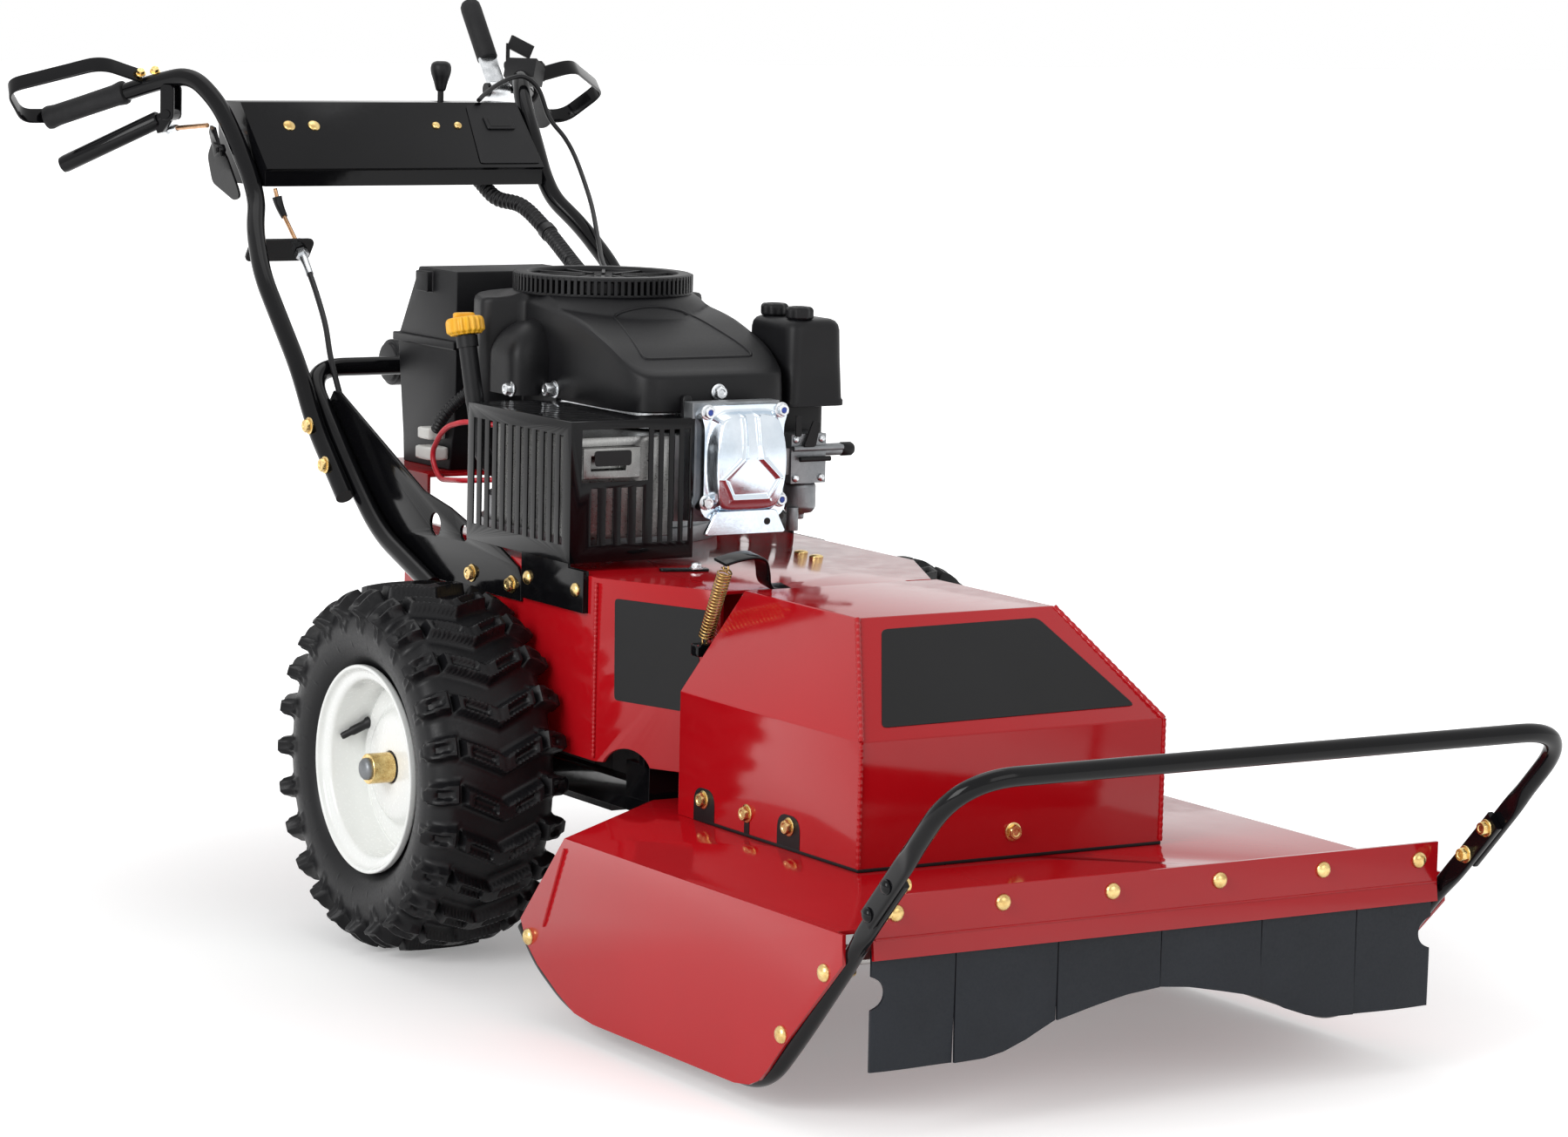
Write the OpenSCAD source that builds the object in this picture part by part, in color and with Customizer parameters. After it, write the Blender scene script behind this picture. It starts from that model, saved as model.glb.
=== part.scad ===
// Walk-behind brush mower: engine on a two-wheeled chassis with a swinging mowing deck in front

/* [Wheels] */
// tyre outside diameter
tyre_od = 414; // [400:1:426]
// tyre section width
tyre_w = 168; // [158:1:172]
// rim lip diameter
lip_d = 233; // [228:1:238]
// gap between the chassis side and the tyre
tyre_gap = 11; // [9:1:20]
// axle place along the machine
axle_y = 412; // [404:1:418]
// axle shaft diameter
axle_d = 25; // [20:0.5:30]
// rubber wall of the tyre
tyre_t = 10; // [7:0.5:12]
// lugs in one row of the tread
lug_n = 18; // [14:1:22]

/* [Deck] */
// deck width over the side skirts
deck_w = 728; // [700:2:744]
// height of the deck's top face
deck_z = 205; // [196:1:212]
// front face of the front flange
flange_y = -586; // [-600:1:-576]
// sheet thickness of the deck
deck_t = 4; // [3:0.5:5]
// ground clearance under the skid tubes
skid_gap = 18; // [14:1:24]
// skid and bumper tube diameter
skid_d = 19; // [17:0.5:21]
// top edge of the front flange
flange_top = 242; // [236:1:246]
// lower edge of the front flange
flange_low = 181; // [178:1:184]
// lower edge of the outer rubber flaps
flap_low = 72; // [66:1:78]
// rubber flap thickness
flap_t = 3; // [2:0.5:4]
// bumper bar height
bar_z = 382; // [360:1:400]
// bumper bar centre along the machine
bar_y = -756; // [-770:1:-745]

/* [Cover] */
// belt cover width
cover_w = 374; // [360:2:390]
// front face of the belt cover
cover_y = -320; // [-330:1:-310]
// rear edge of the belt cover
cover_rear = 37; // [20:1:40]
// height of the fold round the cover
fold_z = 338; // [330:1:346]
// height of the cover top
cover_top = 445; // [438:1:447]
// width of the cover top
cover_top_w = 245; // [230:2:256]
// sheet thickness of the cover
cover_t = 3; // [2:0.5:4]

/* [Blade] */
// spindle place along the machine
spin_y = -235; // [-245:1:-225]
// blade length tip to tip
blade_len = 664; // [600:2:676]
// blade thickness
blade_t = 6; // [5:0.5:8]
// spindle shaft diameter
spin_d = 30; // [24:0.5:36]
// deck pivot pin diameter
pivot_d = 30; // [24:0.5:34]
// height of the deck pivot
pivot_z = 255; // [250:1:260]
// height of the belt's middle
belt_z = 330; // [324:1:334]

/* [Chassis] */
// chassis width over the side plates
ch_w = 410; // [400:2:414]
// lower edge of the chassis
ch_low = 240; // [236:1:246]
// underside of the chassis top plate
ch_top = 437; // [434:1:440]
// sheet thickness of the chassis
ch_t = 4; // [3:0.5:5]
// width of the chassis nose at its front
nose_w = 268; // [250:2:280]

/* [Engine] */
// crankshaft place along the machine
crank_y = 547; // [540:1:552]
// crankshaft diameter
crank_d = 25.4; // [22:0.2:28]
// width of the engine's valve cover
vc_w = 110; // [100:1:112]
// blower housing radius
blow_r = 150; // [140:1:154]
// height of the blower housing's top
blow_top = 728; // [720:1:734]
// sheet thickness of the muffler guard
guard_t = 2; // [1.5:0.5:3]

/* [Handle] */
// handle tube diameter
bar_d = 22.2; // [20:0.2:25]
// side plate thickness
plate_t = 4; // [3:0.5:5]
// tie-down hole diameter in the side plates
tie_d = 26; // [20:0.5:30]
// console width
console_w = 386; // [372:2:386]
// hand grip diameter
grip_d = 28; // [25:0.5:31]
// hand grip length
grip_len = 116; // [104:1:128]
// length of the raised blade lever
lever_len = 138; // [124:1:146]
// guard strip width
strip_w = 20; // [16:0.5:22]
// guard strip thickness
strip_t = 3; // [2.5:0.5:4]

/* [Springs] */
// spring outside diameter
spr_d = 17; // [12:0.5:18]
// spring wire diameter
spr_wire = 2.2; // [1.6:0.1:2.5]
// curls of one spring
spr_n = 22; // [16:1:24]

/* [Loom] */
// loom outside diameter
loom_d = 20; // [16:0.5:22]
// ribs of the loom
loom_n = 48; // [30:1:60]

/* [Clearances] */
// radial clearance of a shaft in its bore
run_gap = 0.05; // [0.02:0.01:0.1]
// gap between neighbouring solids
seat_gap = 0.3; // [0.2:0.05:0.5]

/* [Hidden] */
$fn = 64;
wheel_r = tyre_od / 2;
wheel_x = ch_w / 2 + tyre_gap + tyre_w / 2;
skid_x = deck_w / 2 - deck_t - skid_d / 2 - seat_gap;
skid_z = skid_gap + skid_d / 2;
grip_a = [-284, 1255, 922];
grip_b = grip_a + grip_len * [-70, 85, -37] / 116;
guard_end = [34 - grip_b[0], grip_b[1], grip_b[2] + 3];
front_y = bar_y - skid_d / 2;
rear_y = guard_end[1] + 9.8;
y_mid = (front_y + rear_y) / 2;
hoop_x = ch_w / 2 + plate_t + bar_d / 2 + seat_gap;
tube_x = hoop_x + bar_d + seat_gap;
leg_a = [735, 484];
hoop_top = [872, 609];
seat_z = ch_top + ch_t;
eng_z = 459;

// unit vector
function unit(v) = v / norm(v);
// path direction at one point
function tang(p, i) = i == 0 ? unit(p[1] - p[0])
  : i == len(p) - 1 ? unit(p[i] - p[i - 1])
  : unit(unit(p[i + 1] - p[i]) + unit(p[i] - p[i - 1]));
// first side vector of a path
function seed(t) = abs(t[2]) < 0.9 ? unit(cross(t, [0, 0, 1])) : unit(cross(t, [1, 0, 0]));
// side vectors carried along a path
function carry(p, i, acc) = i >= len(p) ? acc
  : carry(p, i + 1, concat(acc, [let (t = tang(p, i), u = acc[i - 1] - t * (acc[i - 1] * t)) unit(u)]));
// points that round one corner
function bend(a, b, c, r, n) = let (d = min(r, 0.48 * norm(a - b), 0.48 * norm(c - b)),
  s = b + d * unit(a - b), e = b + d * unit(c - b))
  [for (j = [0:n]) let (t = j / n) (1 - t) * (1 - t) * s + 2 * t * (1 - t) * b + t * t * e];
// path with rounded corners
function rounded(p, r, n = 6) = concat([p[0]],
  [for (i = [1:len(p) - 2]) each bend(p[i - 1], p[i], p[i + 1], r, n)], [p[len(p) - 1]]);

// closed tube along a path, rr gives one radius for each point
module skin(p, rr, n) {
  m = len(p);
  u = carry(p, 1, [seed(tang(p, 0))]);
  pts = [for (i = [0:m - 1]) let (t = tang(p, i), w = cross(t, u[i])) for (k = [0:n - 1])
    p[i] + rr[i] * (cos(360 * k / n) * u[i] + sin(360 * k / n) * w)];
  walls = [for (i = [0:m - 2]) for (k = [0:n - 1]) let (a = i * n + k, b = i * n + (k + 1) % n)
    each [[a, a + n, b + n], [a, b + n, b]]];
  polyhedron(pts, concat([[for (k = [0:n - 1]) k]], [[for (k = [n - 1:-1:0]) (m - 1) * n + k]], walls));
}

// tube of one radius along a path
module sweep(p, r, n = 12) {
  skin(p, [for (q = p) r], n);
}

// the machine's middle to the origin
module mid() {
  translate([0, -y_mid, 0]) children();
}

// the same on both sides
module both() {
  children();
  mirror([1, 0, 0]) children();
}

// solid of a side view drawn in Y and Z, between x0 and x0 + t
module side(x0, t) {
  translate([x0, 0, 0]) rotate([90, 0, 90]) linear_extrude(t) children();
}

// hex head against a face, pointing along +X
module hex_x(p, d, h) {
  translate(p) rotate([0, 90, 0]) cylinder(d = d, h = h, $fn = 6);
}

// carriage-bolt head against a face, pointing along +X
module dome_x(p, d, h) {
  translate(p) rotate([0, 90, 0]) rotate_extrude($fn = 24) polygon([[0, 0], [d / 2, 0], [d * 0.44, h * 0.5],
    [d * 0.28, h * 0.86], [0, h]]);
}

// wheel parts, drawn for the left side with the axle along X
tw = tyre_w / 168;
axle_out = 74;
hub_out = 38;
module tyre_body() {
  rotate([0, 90, 0]) rotate_extrude($fn = 96) polygon([
    [102, -60 * tw], [lip_d / 2 + 1, -62 * tw], [130, -74 * tw], [152, -80 * tw], [178, -74 * tw],
    [wheel_r - 15, -60 * tw], [wheel_r - 10, -34 * tw], [wheel_r - 9, 0], [wheel_r - 10, 34 * tw],
    [wheel_r - 15, 60 * tw], [178, 74 * tw], [152, 80 * tw], [130, 74 * tw], [lip_d / 2 + 1, 62 * tw],
    [102, 60 * tw], [102, 60 * tw - tyre_t], [130, 74 * tw - tyre_t], [152, 80 * tw - tyre_t],
    [wheel_r - 15 - tyre_t, 56 * tw], [wheel_r - 10 - tyre_t, 0], [wheel_r - 15 - tyre_t, -56 * tw],
    [152, -80 * tw + tyre_t], [130, -74 * tw + tyre_t], [102, -60 * tw + tyre_t]]);
  for (i = [0:lug_n - 1]) rotate([360 * i / lug_n, 0, 0]) {
    translate([0, 0, wheel_r - 15]) rotate([0, 0, 24]) translate([8 * tw, -11, 0]) cube([46 * tw, 22, 12.5]);
    rotate([180 / lug_n, 0, 0]) translate([0, 0, wheel_r - 15]) rotate([0, 0, -24])
      translate([-54 * tw, -11, 0]) cube([46 * tw, 22, 12.5]);
    rotate([90 / lug_n, 0, 0]) both() translate([48 * tw, -13, wheel_r - 30]) cube([13 * tw, 26, 21]);
  }
}
module rim_body() {
  difference() {
    union() {
      rotate([0, 90, 0]) rotate_extrude($fn = 96) polygon([
        [101.6, -61 * tw], [101.6, 61 * tw], [113, 62 * tw], [lip_d / 2, 65 * tw], [lip_d / 2, 73 * tw],
        [lip_d / 2 - 3, 73 * tw], [110.5, 66 * tw], [98.6, 64 * tw], [98.6, -13], [92, -20], [62, -23],
        [54, -32], [24, -34], [24, -39], [56, -36], [64, -27], [93, -24], [98.6, -20], [98.6, -64 * tw],
        [110.5, -66 * tw], [lip_d / 2 - 3, -73 * tw], [lip_d / 2, -73 * tw], [lip_d / 2, -65 * tw],
        [113, -62 * tw]]);
      translate([-hub_out, 0, 0]) rotate([0, 90, 0]) cylinder(r = axle_d / 2 + 11, h = 66);
    }
    translate([-60, 0, 0]) rotate([0, 90, 0]) cylinder(r = axle_d / 2 + run_gap, h = 120);
  }
  rotate([-67, 0, 0]) translate([-24, 0, 87]) rotate([0, -90, -12]) cylinder(d = 9, h = 40, $fn = 20);
}
module axle_body() {
  rotate([0, 90, 0]) {
    translate([0, 0, 4 - axle_out]) cylinder(d = axle_d, h = axle_out + wheel_x - 8);
    translate([0, 0, -axle_out]) rotate_extrude($fn = 40) polygon([[0, 0], [7, 0.6], [11, 2.4],
      [axle_d / 2, 5], [axle_d / 2, 8], [0, 8]]);
    translate([0, 0, 8 - axle_out]) cylinder(r = axle_d / 2 + 4.5, h = axle_out - 8 - hub_out - 1);
  }
}

module tyre_l() {
  color([0.08, 0.08, 0.08]) mid() translate([-wheel_x, axle_y, wheel_r]) tyre_body();
}
module tyre_r() {
  color([0.08, 0.08, 0.08]) mid() translate([wheel_x, axle_y, wheel_r]) mirror([1, 0, 0]) tyre_body();
}
module rim_l() {
  color([0.92, 0.92, 0.9]) mid() translate([-wheel_x, axle_y, wheel_r]) rim_body();
}
module rim_r() {
  color([0.92, 0.92, 0.9]) mid() translate([wheel_x, axle_y, wheel_r]) mirror([1, 0, 0]) rim_body();
}
module axle_l() {
  color([0.5, 0.45, 0.3]) mid() translate([-wheel_x, axle_y, wheel_r]) axle_body();
}
module axle_r() {
  color([0.5, 0.45, 0.3]) mid() translate([wheel_x, axle_y, wheel_r]) mirror([1, 0, 0]) axle_body();
}

// gearbox with the two axle tubes and the saddles that carry the chassis
tube_end = ch_w / 2 + 15;
module transaxle() {
  color([0.25, 0.26, 0.27]) mid() difference() {
    union() {
      translate([-88, axle_y - 62, wheel_r - 58]) cube([176, 128, 112]);
      translate([-60, axle_y + 60, wheel_r - 40]) cube([120, 30, 80]);
      translate([-tube_end, axle_y, wheel_r]) rotate([0, 90, 0]) cylinder(d = axle_d + 22, h = 2 * tube_end);
      both() translate([-ch_w / 2, axle_y - 30, wheel_r]) cube([20, 60, ch_low - wheel_r]);
      translate([0, axle_y - 20, wheel_r + 50]) cylinder(d = 40, h = 40);
    }
    translate([-tube_end - 1, axle_y, wheel_r]) rotate([0, 90, 0]) cylinder(r = axle_d / 2 + run_gap,
      h = 2 * tube_end + 2);
  }
}

// welded chassis box with an open nose, a top plate, a spring tab and a tank tray
nose_y = cover_rear + 8;
tray_z = 494;
tray_x = 150;
slope_y = 188;
chassis_rear = 640;
module plan(o) {
  polygon([[ch_w / 2 - o, chassis_rear - o], [ch_w / 2 - o, slope_y], [nose_w / 2 - o, nose_y],
    [-nose_w / 2 + o, nose_y], [-ch_w / 2 + o, slope_y], [-ch_w / 2 + o, chassis_rear - o]]);
}
module chassis() {
  color([0.75, 0.05, 0.06]) mid() {
    difference() {
      translate([0, 0, ch_low]) linear_extrude(ch_top - ch_low) difference() {
        plan(0);
        plan(ch_t);
        translate([-nose_w / 2 + ch_t, nose_y - 10]) square([nose_w - 2 * ch_t, 20]);
      }
      both() translate([-ch_w, 150, ch_low - 12]) rotate([0, 90, 0]) cylinder(r = 30, h = ch_w);
      translate([-126, chassis_rear - 20, 326]) rotate([-90, 0, 0]) cylinder(r = 14, h = 40);
    }
    difference() {
      translate([0, 0, ch_top]) linear_extrude(ch_t) union() {
        plan(0);
        translate([-100, cover_rear - 17]) square([200, nose_y - cover_rear + 27]);
      }
      translate([0, crank_y, ch_top - 1]) cylinder(r = 60, h = ch_t + 2);
    }
    translate([-160, nose_y + 2, 372]) cube([22, 14, 12]);
    translate([-tray_x, 690, tray_z]) cube([2 * tray_x, 172, ch_t]);
    both() translate([-tray_x, 690, ch_top]) cube([ch_t, 172, tray_z - ch_top + 2]);
    both() translate([-ch_w / 2, chassis_rear - ch_t, ch_top]) cube([ch_w / 2 - tray_x + ch_t + 1, 60, ch_t]);
  }
}

// black front frame: rails, cross plate and the pin the deck swings on
rail_x = 140;
cross_y = 134;
cross_x = nose_w / 2 + (cross_y - nose_y) * (ch_w - nose_w) / 2 / (slope_y - nose_y) - 1.2 * ch_t - seat_gap;
rail_end = axle_y - axle_d / 2 - 11 - seat_gap;
module pivot_frame() {
  color([0.06, 0.06, 0.06]) mid() {
    both() translate([-rail_x - 22, cross_y, 183]) cube([22, rail_end - cross_y, 32]);
    translate([-rail_x - 22, cross_y, 183]) cube([2 * rail_x + 44, 10, ch_low - 183 + 5]);
    translate([-cross_x, cross_y, ch_low]) cube([2 * cross_x, 10, 40]);
    both() translate([-rail_x - 26, cross_y, 200]) cube([52, 50, ch_low - 200]);
    translate([0, -64, pivot_z]) rotate([-90, 0, 0]) cylinder(d = pivot_d, h = cross_y + 70);
    translate([0, 22 + seat_gap, pivot_z]) rotate([-90, 0, 0]) cylinder(d = pivot_d + 20, h = 8);
  }
}

// black plates that carry the handle
module plate_body() {
  difference() {
    side(-ch_w / 2 - plate_t, plate_t) polygon([[352, 394], [560, 394], [680, 432], [742, 478], [832, 556],
      [834, 572], [822, 586], [806, 586], [700, 540], [589, 492], [524, 480], [461, 462], [400, 448],
      [360, 432], [352, 420]]);
    translate([-ch_w / 2 - plate_t - 1, 558, 457]) rotate([0, 90, 0]) cylinder(d = tie_d, h = plate_t + 2);
    translate([-ch_w / 2 - plate_t - 1, 488, 455]) rotate([0, 90, 0]) cylinder(d = 18, h = plate_t + 2);
  }
}
module side_plates() {
  color([0.05, 0.05, 0.05]) mid() {
    plate_body();
    difference() {
      mirror([1, 0, 0]) plate_body();
      translate([ch_w / 2 - 1, 340, seat_z]) cube([plate_t + 2, 110, 40]);
    }
  }
}

// U-shaped lower handle tube
hoop_path = rounded([[-hoop_x, 540, 388], [-hoop_x, 672, 434], [-hoop_x, leg_a[0], leg_a[1]],
  [-hoop_x, hoop_top[0], hoop_top[1]], [hoop_x, hoop_top[0], hoop_top[1]], [hoop_x, leg_a[0], leg_a[1]],
  [hoop_x, 672, 434], [hoop_x, 540, 388]], 50);
module lower_hoop() {
  color([0.05, 0.05, 0.05]) mid() sweep(hoop_path, bar_d / 2);
}

// upper handle tubes with the cable plate, the crank plate, the lever ears and the lever pins
tube_path = rounded([[-tube_x, 720, 472], [-tube_x, 800, 546], [-tube_x, 846, 612], [-tube_x, 948, 715],
  [-227, 1002, 764], [-207, 1040, 797], [-204, 1062, 824], [-209, 1103, 876], [-214, 1138, 914],
  [-232, 1178, 947], [-258, 1224, 935], grip_a], 24, 4);
lev_a = [-246, 1206, 897];
lev_turn = 39.4;
ear_in = 8.5;
lev_pin = 4;
bl_at = [238, 1250, 926];
bl_pin = 5;
plate_x = 218;
bell_at = [1106, 857];
bell_pin = 3;
module handle_tubes() {
  color([0.05, 0.05, 0.05]) mid() {
    both() sweep(tube_path, bar_d / 2);
    difference() {
      translate([-236, 1013, 726]) rotate([38, 0, 0]) cube([86, 4, 34]);
      translate([-236, 1013, 726]) rotate([38, 0, 0]) translate([71, -1, 16.4]) rotate([-90, 0, 0])
        cylinder(r = 7.6, h = 6);
    }
    side(-plate_x - 3, 3) polygon([[1060, 802], [1066, 812], [1100, 850], [1135, 872], [1153, 848],
      [1138, 815], [1075, 796]]);
    translate([-plate_x - 12, bell_at[0], bell_at[1]]) rotate([0, 90, 0]) cylinder(r = bell_pin, h = 11);
    translate(lev_a) rotate([0, 0, lev_turn]) {
      both() translate([ear_in, -9, -8]) cube([4, 18, 44]);
      translate([-ear_in - 4, 0, 0]) rotate([0, 90, 0]) cylinder(r = lev_pin, h = 2 * ear_in + 8);
    }
    translate([bl_at[0] - 18, bl_at[1], bl_at[2]]) rotate([0, 90, 0]) {
      cylinder(r = bl_pin, h = 60);
      cylinder(r = bl_pin + 4, h = 3.5);
    }
  }
}

// console box between the handle tubes, with two ears and a pin for the shift lever
shift_at = [99, 1145, 860];
shift_pin = 4;
module console() {
  color([0.06, 0.06, 0.06]) mid() {
    difference() {
      side(-console_w / 2, console_w) polygon([[1046, 815], [1046, 834], [1040, 837], [1118, 915],
        [1176, 915], [1184, 905], [1172, 815]]);
      side(-console_w / 2 + 3, console_w - 6) polygon([[1049, 810], [1049, 836], [1120, 912], [1174, 912],
        [1181, 904], [1169, 810]]);
      translate([shift_at[0] - 7, shift_at[1] - 17, 905]) cube([14, 34, 20]);
    }
    for (x = [-14.6, 10.3]) translate([shift_at[0] + x, shift_at[1] - 10, 851]) cube([4.3, 20, 62]);
    translate(shift_at - [14, 0, 0]) rotate([0, 90, 0]) cylinder(r = shift_pin, h = 28);
  }
}

// hand grips on the handle ends
module grips() {
  color([0.04, 0.04, 0.04]) mid() both()
    sweep([grip_a + 0.4 * unit(grip_b - grip_a), grip_b], grip_d / 2, 20);
}

// strip guards round the hands
guard_pt = [-guard_end[0], guard_end[1], guard_end[2]];
ring_path = rounded([[-274, 1234, 942], [-333, 1222, 959], grip_b + [-70, -34, 41], guard_pt,
  grip_b + [-2, 2, 3]], 16, 4);
module strip(p) {
  m = len(p);
  nrm = unit(cross(p[1] - p[0], p[m - 2] - p[1]));
  pts = [for (i = [0:m - 1]) let (t = tang(p, i), s = unit(cross(nrm, t))) each [
    p[i] - strip_w / 2 * nrm - strip_t / 2 * s, p[i] + strip_w / 2 * nrm - strip_t / 2 * s,
    p[i] + strip_w / 2 * nrm + strip_t / 2 * s, p[i] - strip_w / 2 * nrm + strip_t / 2 * s]];
  walls = [for (i = [0:m - 2]) for (k = [0:3]) let (a = i * 4 + k, b = i * 4 + (k + 1) % 4)
    each [[a, b, b + 4], [a, b + 4, a + 4]]];
  polyhedron(pts, concat([[3, 2, 1, 0]], [[m * 4 - 4, m * 4 - 3, m * 4 - 2, m * 4 - 1]], walls));
}
module hand_guards() {
  color([0.05, 0.05, 0.05]) mid() both() strip(ring_path);
}

// switch and cable housing on the right handle, with the post of the lock paddle
lock_at = [1263, 957];
lock_pin = 2.5;
module switch_box() {
  color([0.05, 0.05, 0.05]) mid() {
    translate([246, 1196, 945]) rotate([0, 24, 40]) translate([0, -14, 0]) cube([34, 42, 26]);
    translate([286, 1226, 946]) rotate([0, 24, 40]) cube([22, 14, 20]);
    translate([264, 1216, 950]) cube([5, 52, 13]);
    translate([255, lock_at[0], lock_at[1]]) rotate([0, 90, 0]) cylinder(r = lock_pin, h = 10);
  }
}

// engine block: base, sump, crankcase, cylinder with fins and head
block_top = eng_z + 128 - seat_gap;
module engine_block() {
  color([0.55, 0.56, 0.57]) mid() difference() {
    union() {
      translate([0, crank_y, seat_z]) cylinder(r = 138, h = eng_z - seat_z);
      translate([0, crank_y, eng_z]) cylinder(r = 130, h = 26);
      translate([0, crank_y, eng_z + 26]) cylinder(r = 118, h = block_top - eng_z - 26);
      translate([0, crank_y, block_top - 12]) cylinder(r = 132, h = 12);
      translate([-58, 410, eng_z + 20]) cube([116, 60, 100]);
      for (i = [0:7]) translate([-62, 270 + 18 * i, eng_z + 28]) cube([124, 9, 96]);
      translate([-50, 252, eng_z + 36]) cube([100, 170, 88]);
      translate([-54, 246, eng_z + 30]) cube([112, 20, 132]);
      translate([-120, 480, eng_z + 40]) cube([30, 60, 30]);
    }
    translate([0, crank_y, seat_z - 1]) cylinder(r = crank_d / 2 + run_gap, h = 180);
  }
}

// blower housing with its front hood, side bulge and slotted intake ring
module blower_housing() {
  low = eng_z + 128;
  color([0.07, 0.07, 0.07]) mid() difference() {
    union() {
      translate([0, crank_y, 0]) rotate_extrude($fn = 72) polygon([[0, low], [blow_r, low],
        [blow_r, low + 70], [blow_r - 6, low + 92], [blow_r - 20, low + 112], [112, blow_top - 6],
        [104, blow_top - 4], [0, blow_top - 4]]);
      hull() {
        both() translate([-70, 312, low]) cylinder(r = 30, h = 48, $fn = 32);
        both() translate([-72, 400, low]) cylinder(r = 24, h = 98, $fn = 32);
        translate([0, crank_y, low]) cylinder(r = 99, h = 124, $fn = 48);
      }
      translate([-blow_r - 16, 475, low]) cube([60, 68, 62]);
      translate([0, crank_y, blow_top - 12]) difference() {
        cylinder(r = 104, h = 20);
        translate([0, 0, 14]) cylinder(r = 92, h = 10);
        for (i = [0:35]) rotate([0, 0, 10 * i]) translate([96, -2.5, 8]) cube([12, 5, 8]);
      }
    }
    translate([0, crank_y, low - 1]) cylinder(r = 122, h = 108);
    translate([-66, 330, low - 1]) cube([132, 140, 30]);
  }
}

// stamped valve cover with its bracket
module valve_cover() {
  color([0.7, 0.72, 0.74]) mid() {
    translate([-vc_w / 2 + 3, 228, eng_z + 34]) cube([vc_w, 18 - seat_gap, 126]);
    translate([-vc_w / 2 + 10, 216, eng_z + 46]) cube([vc_w - 14, 14, 108]);
    translate([-vc_w / 2 + 8, 218, eng_z + 20]) cube([vc_w - 18, 12, 16]);
  }
}

// muffler with its outlet, inside the guard's outer face
gx = -ch_w / 2 - plate_t - 5;
module muffler() {
  color([0.62, 0.62, 0.6]) mid() {
    translate([gx + 16, 252, 474]) cube([-74 - gx - 16, 183, 112]);
    difference() {
      translate([gx + 18, 238 + seat_gap, 542]) cube([72, 20, 34]);
      translate([gx + 28, 230, 551]) cube([44, 24, 16]);
    }
    translate([-80, 300, 520]) cube([17.4, 40, 40]);
  }
}

// slotted guard round the muffler
module muffler_guard() {
  color([0.05, 0.05, 0.05]) mid() {
    difference() {
      union() {
        translate([gx, 234, 451]) cube([guard_t, 238, 155]);
        translate([gx, 234, 451]) cube([-58 - gx, guard_t, 154]);
        translate([0, 0, 606 - guard_t]) linear_extrude(guard_t) polygon([[gx, 234], [-62, 234], [-62, 276],
          [-108, 276], [-108, 434], [-136, 472], [gx, 472]]);
      }
      for (i = [0:11]) translate([gx - 1, 252 + 18 * i, 470]) cube([guard_t + 2, 8, 120]);
      translate([gx + 14, 230, 539]) cube([84, 10, 58]);
      for (i = [0:3]) translate([gx + 26 + 19 * i, 230, 470]) cube([9, 10, 62]);
      for (i = [0:3]) translate([gx + 104 + 13 * i, 230, 470]) cube([7, 10, 124]);
      for (i = [0:14]) translate([gx + 10, 250 + 14.5 * i, 600]) cube([62, 6, 10]);
    }
    translate([gx + guard_t, 206, 400]) cube([-ch_w / 2 - gx - guard_t, 140, 46]);
    translate([gx + guard_t, 240, 440]) cube([5 - guard_t, 106, 24]);
  }
}

// carburettor and its solenoid
carb_y = 292;
carb_d = 36;
module carburettor() {
  color([0.6, 0.61, 0.62]) mid() {
    translate([104, carb_y, 520]) cube([46, carb_d, 56]);
    translate([128, carb_y + 20, 490]) cylinder(d = 32, h = 32);
    translate([150, carb_y + 12, 556]) rotate([0, 90, 0]) cylinder(d = 14, h = 26);
    translate([62 + seat_gap, carb_y + 4, 530]) cube([43, 28, 30]);
    translate([112, carb_y + 8, 466]) cylinder(d = 14, h = 26);
  }
}

// air filter box with its lower duct
filter_top = 704;
module air_filter() {
  color([0.06, 0.06, 0.06]) mid() {
    translate([106, 300, 606]) cube([70, 98, filter_top - 606]);
    translate([103, 297, 606]) cube([76, 104, 8]);
    translate([112, carb_y + carb_d + seat_gap, 540]) cube([58, 55, 67]);
  }
}
knob_h = 14;
module filter_knob(p) {
  color([0.05, 0.05, 0.05]) mid() translate(p) {
    cylinder(d = 30, h = knob_h);
    for (i = [0:7]) rotate([0, 0, 45 * i]) translate([14, -2, 1]) cube([3, 4, knob_h - 2]);
  }
}
module filter_knob_a() {
  filter_knob([128, 320, filter_top + seat_gap]);
}
module filter_knob_b() {
  filter_knob([128, 374, filter_top + seat_gap]);
}

// oil filler tube and its dipstick
dip_top = [-187, 530, 676];
dip_low = [-183, 514, 600];
dip_foot = [-112, 522, 520];
dip_dir = unit(dip_top - dip_low);
module dip_tube() {
  color([0.06, 0.06, 0.06]) mid() difference() {
    sweep(concat([dip_foot], bend(dip_foot, [-178, 498, 524], dip_low, 40, 6), [dip_low, dip_top]), 10.5, 16);
    translate(dip_low + 4 * dip_dir) multmatrix(tilt(dip_dir)) cylinder(r = 7, h = 120);
  }
}
// turn of +Z onto a direction
function tilt(d) = let (s = unit(cross([0, 1, 0], d)), w = cross(d, s))
  [[s[0], w[0], d[0], 0], [s[1], w[1], d[1], 0], [s[2], w[2], d[2], 0], [0, 0, 0, 1]];
module dipstick() {
  color([0.9, 0.65, 0.1]) mid() translate(dip_top) multmatrix(tilt(dip_dir)) {
    translate([0, 0, seat_gap]) cylinder(d = 42, h = 20);
    for (i = [0:15]) rotate([0, 0, 22.5 * i]) translate([20, -2, seat_gap + 2]) cube([2.5, 4, 16]);
    translate([0, 0, -66]) cylinder(r = 3, h = 67);
  }
}

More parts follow.
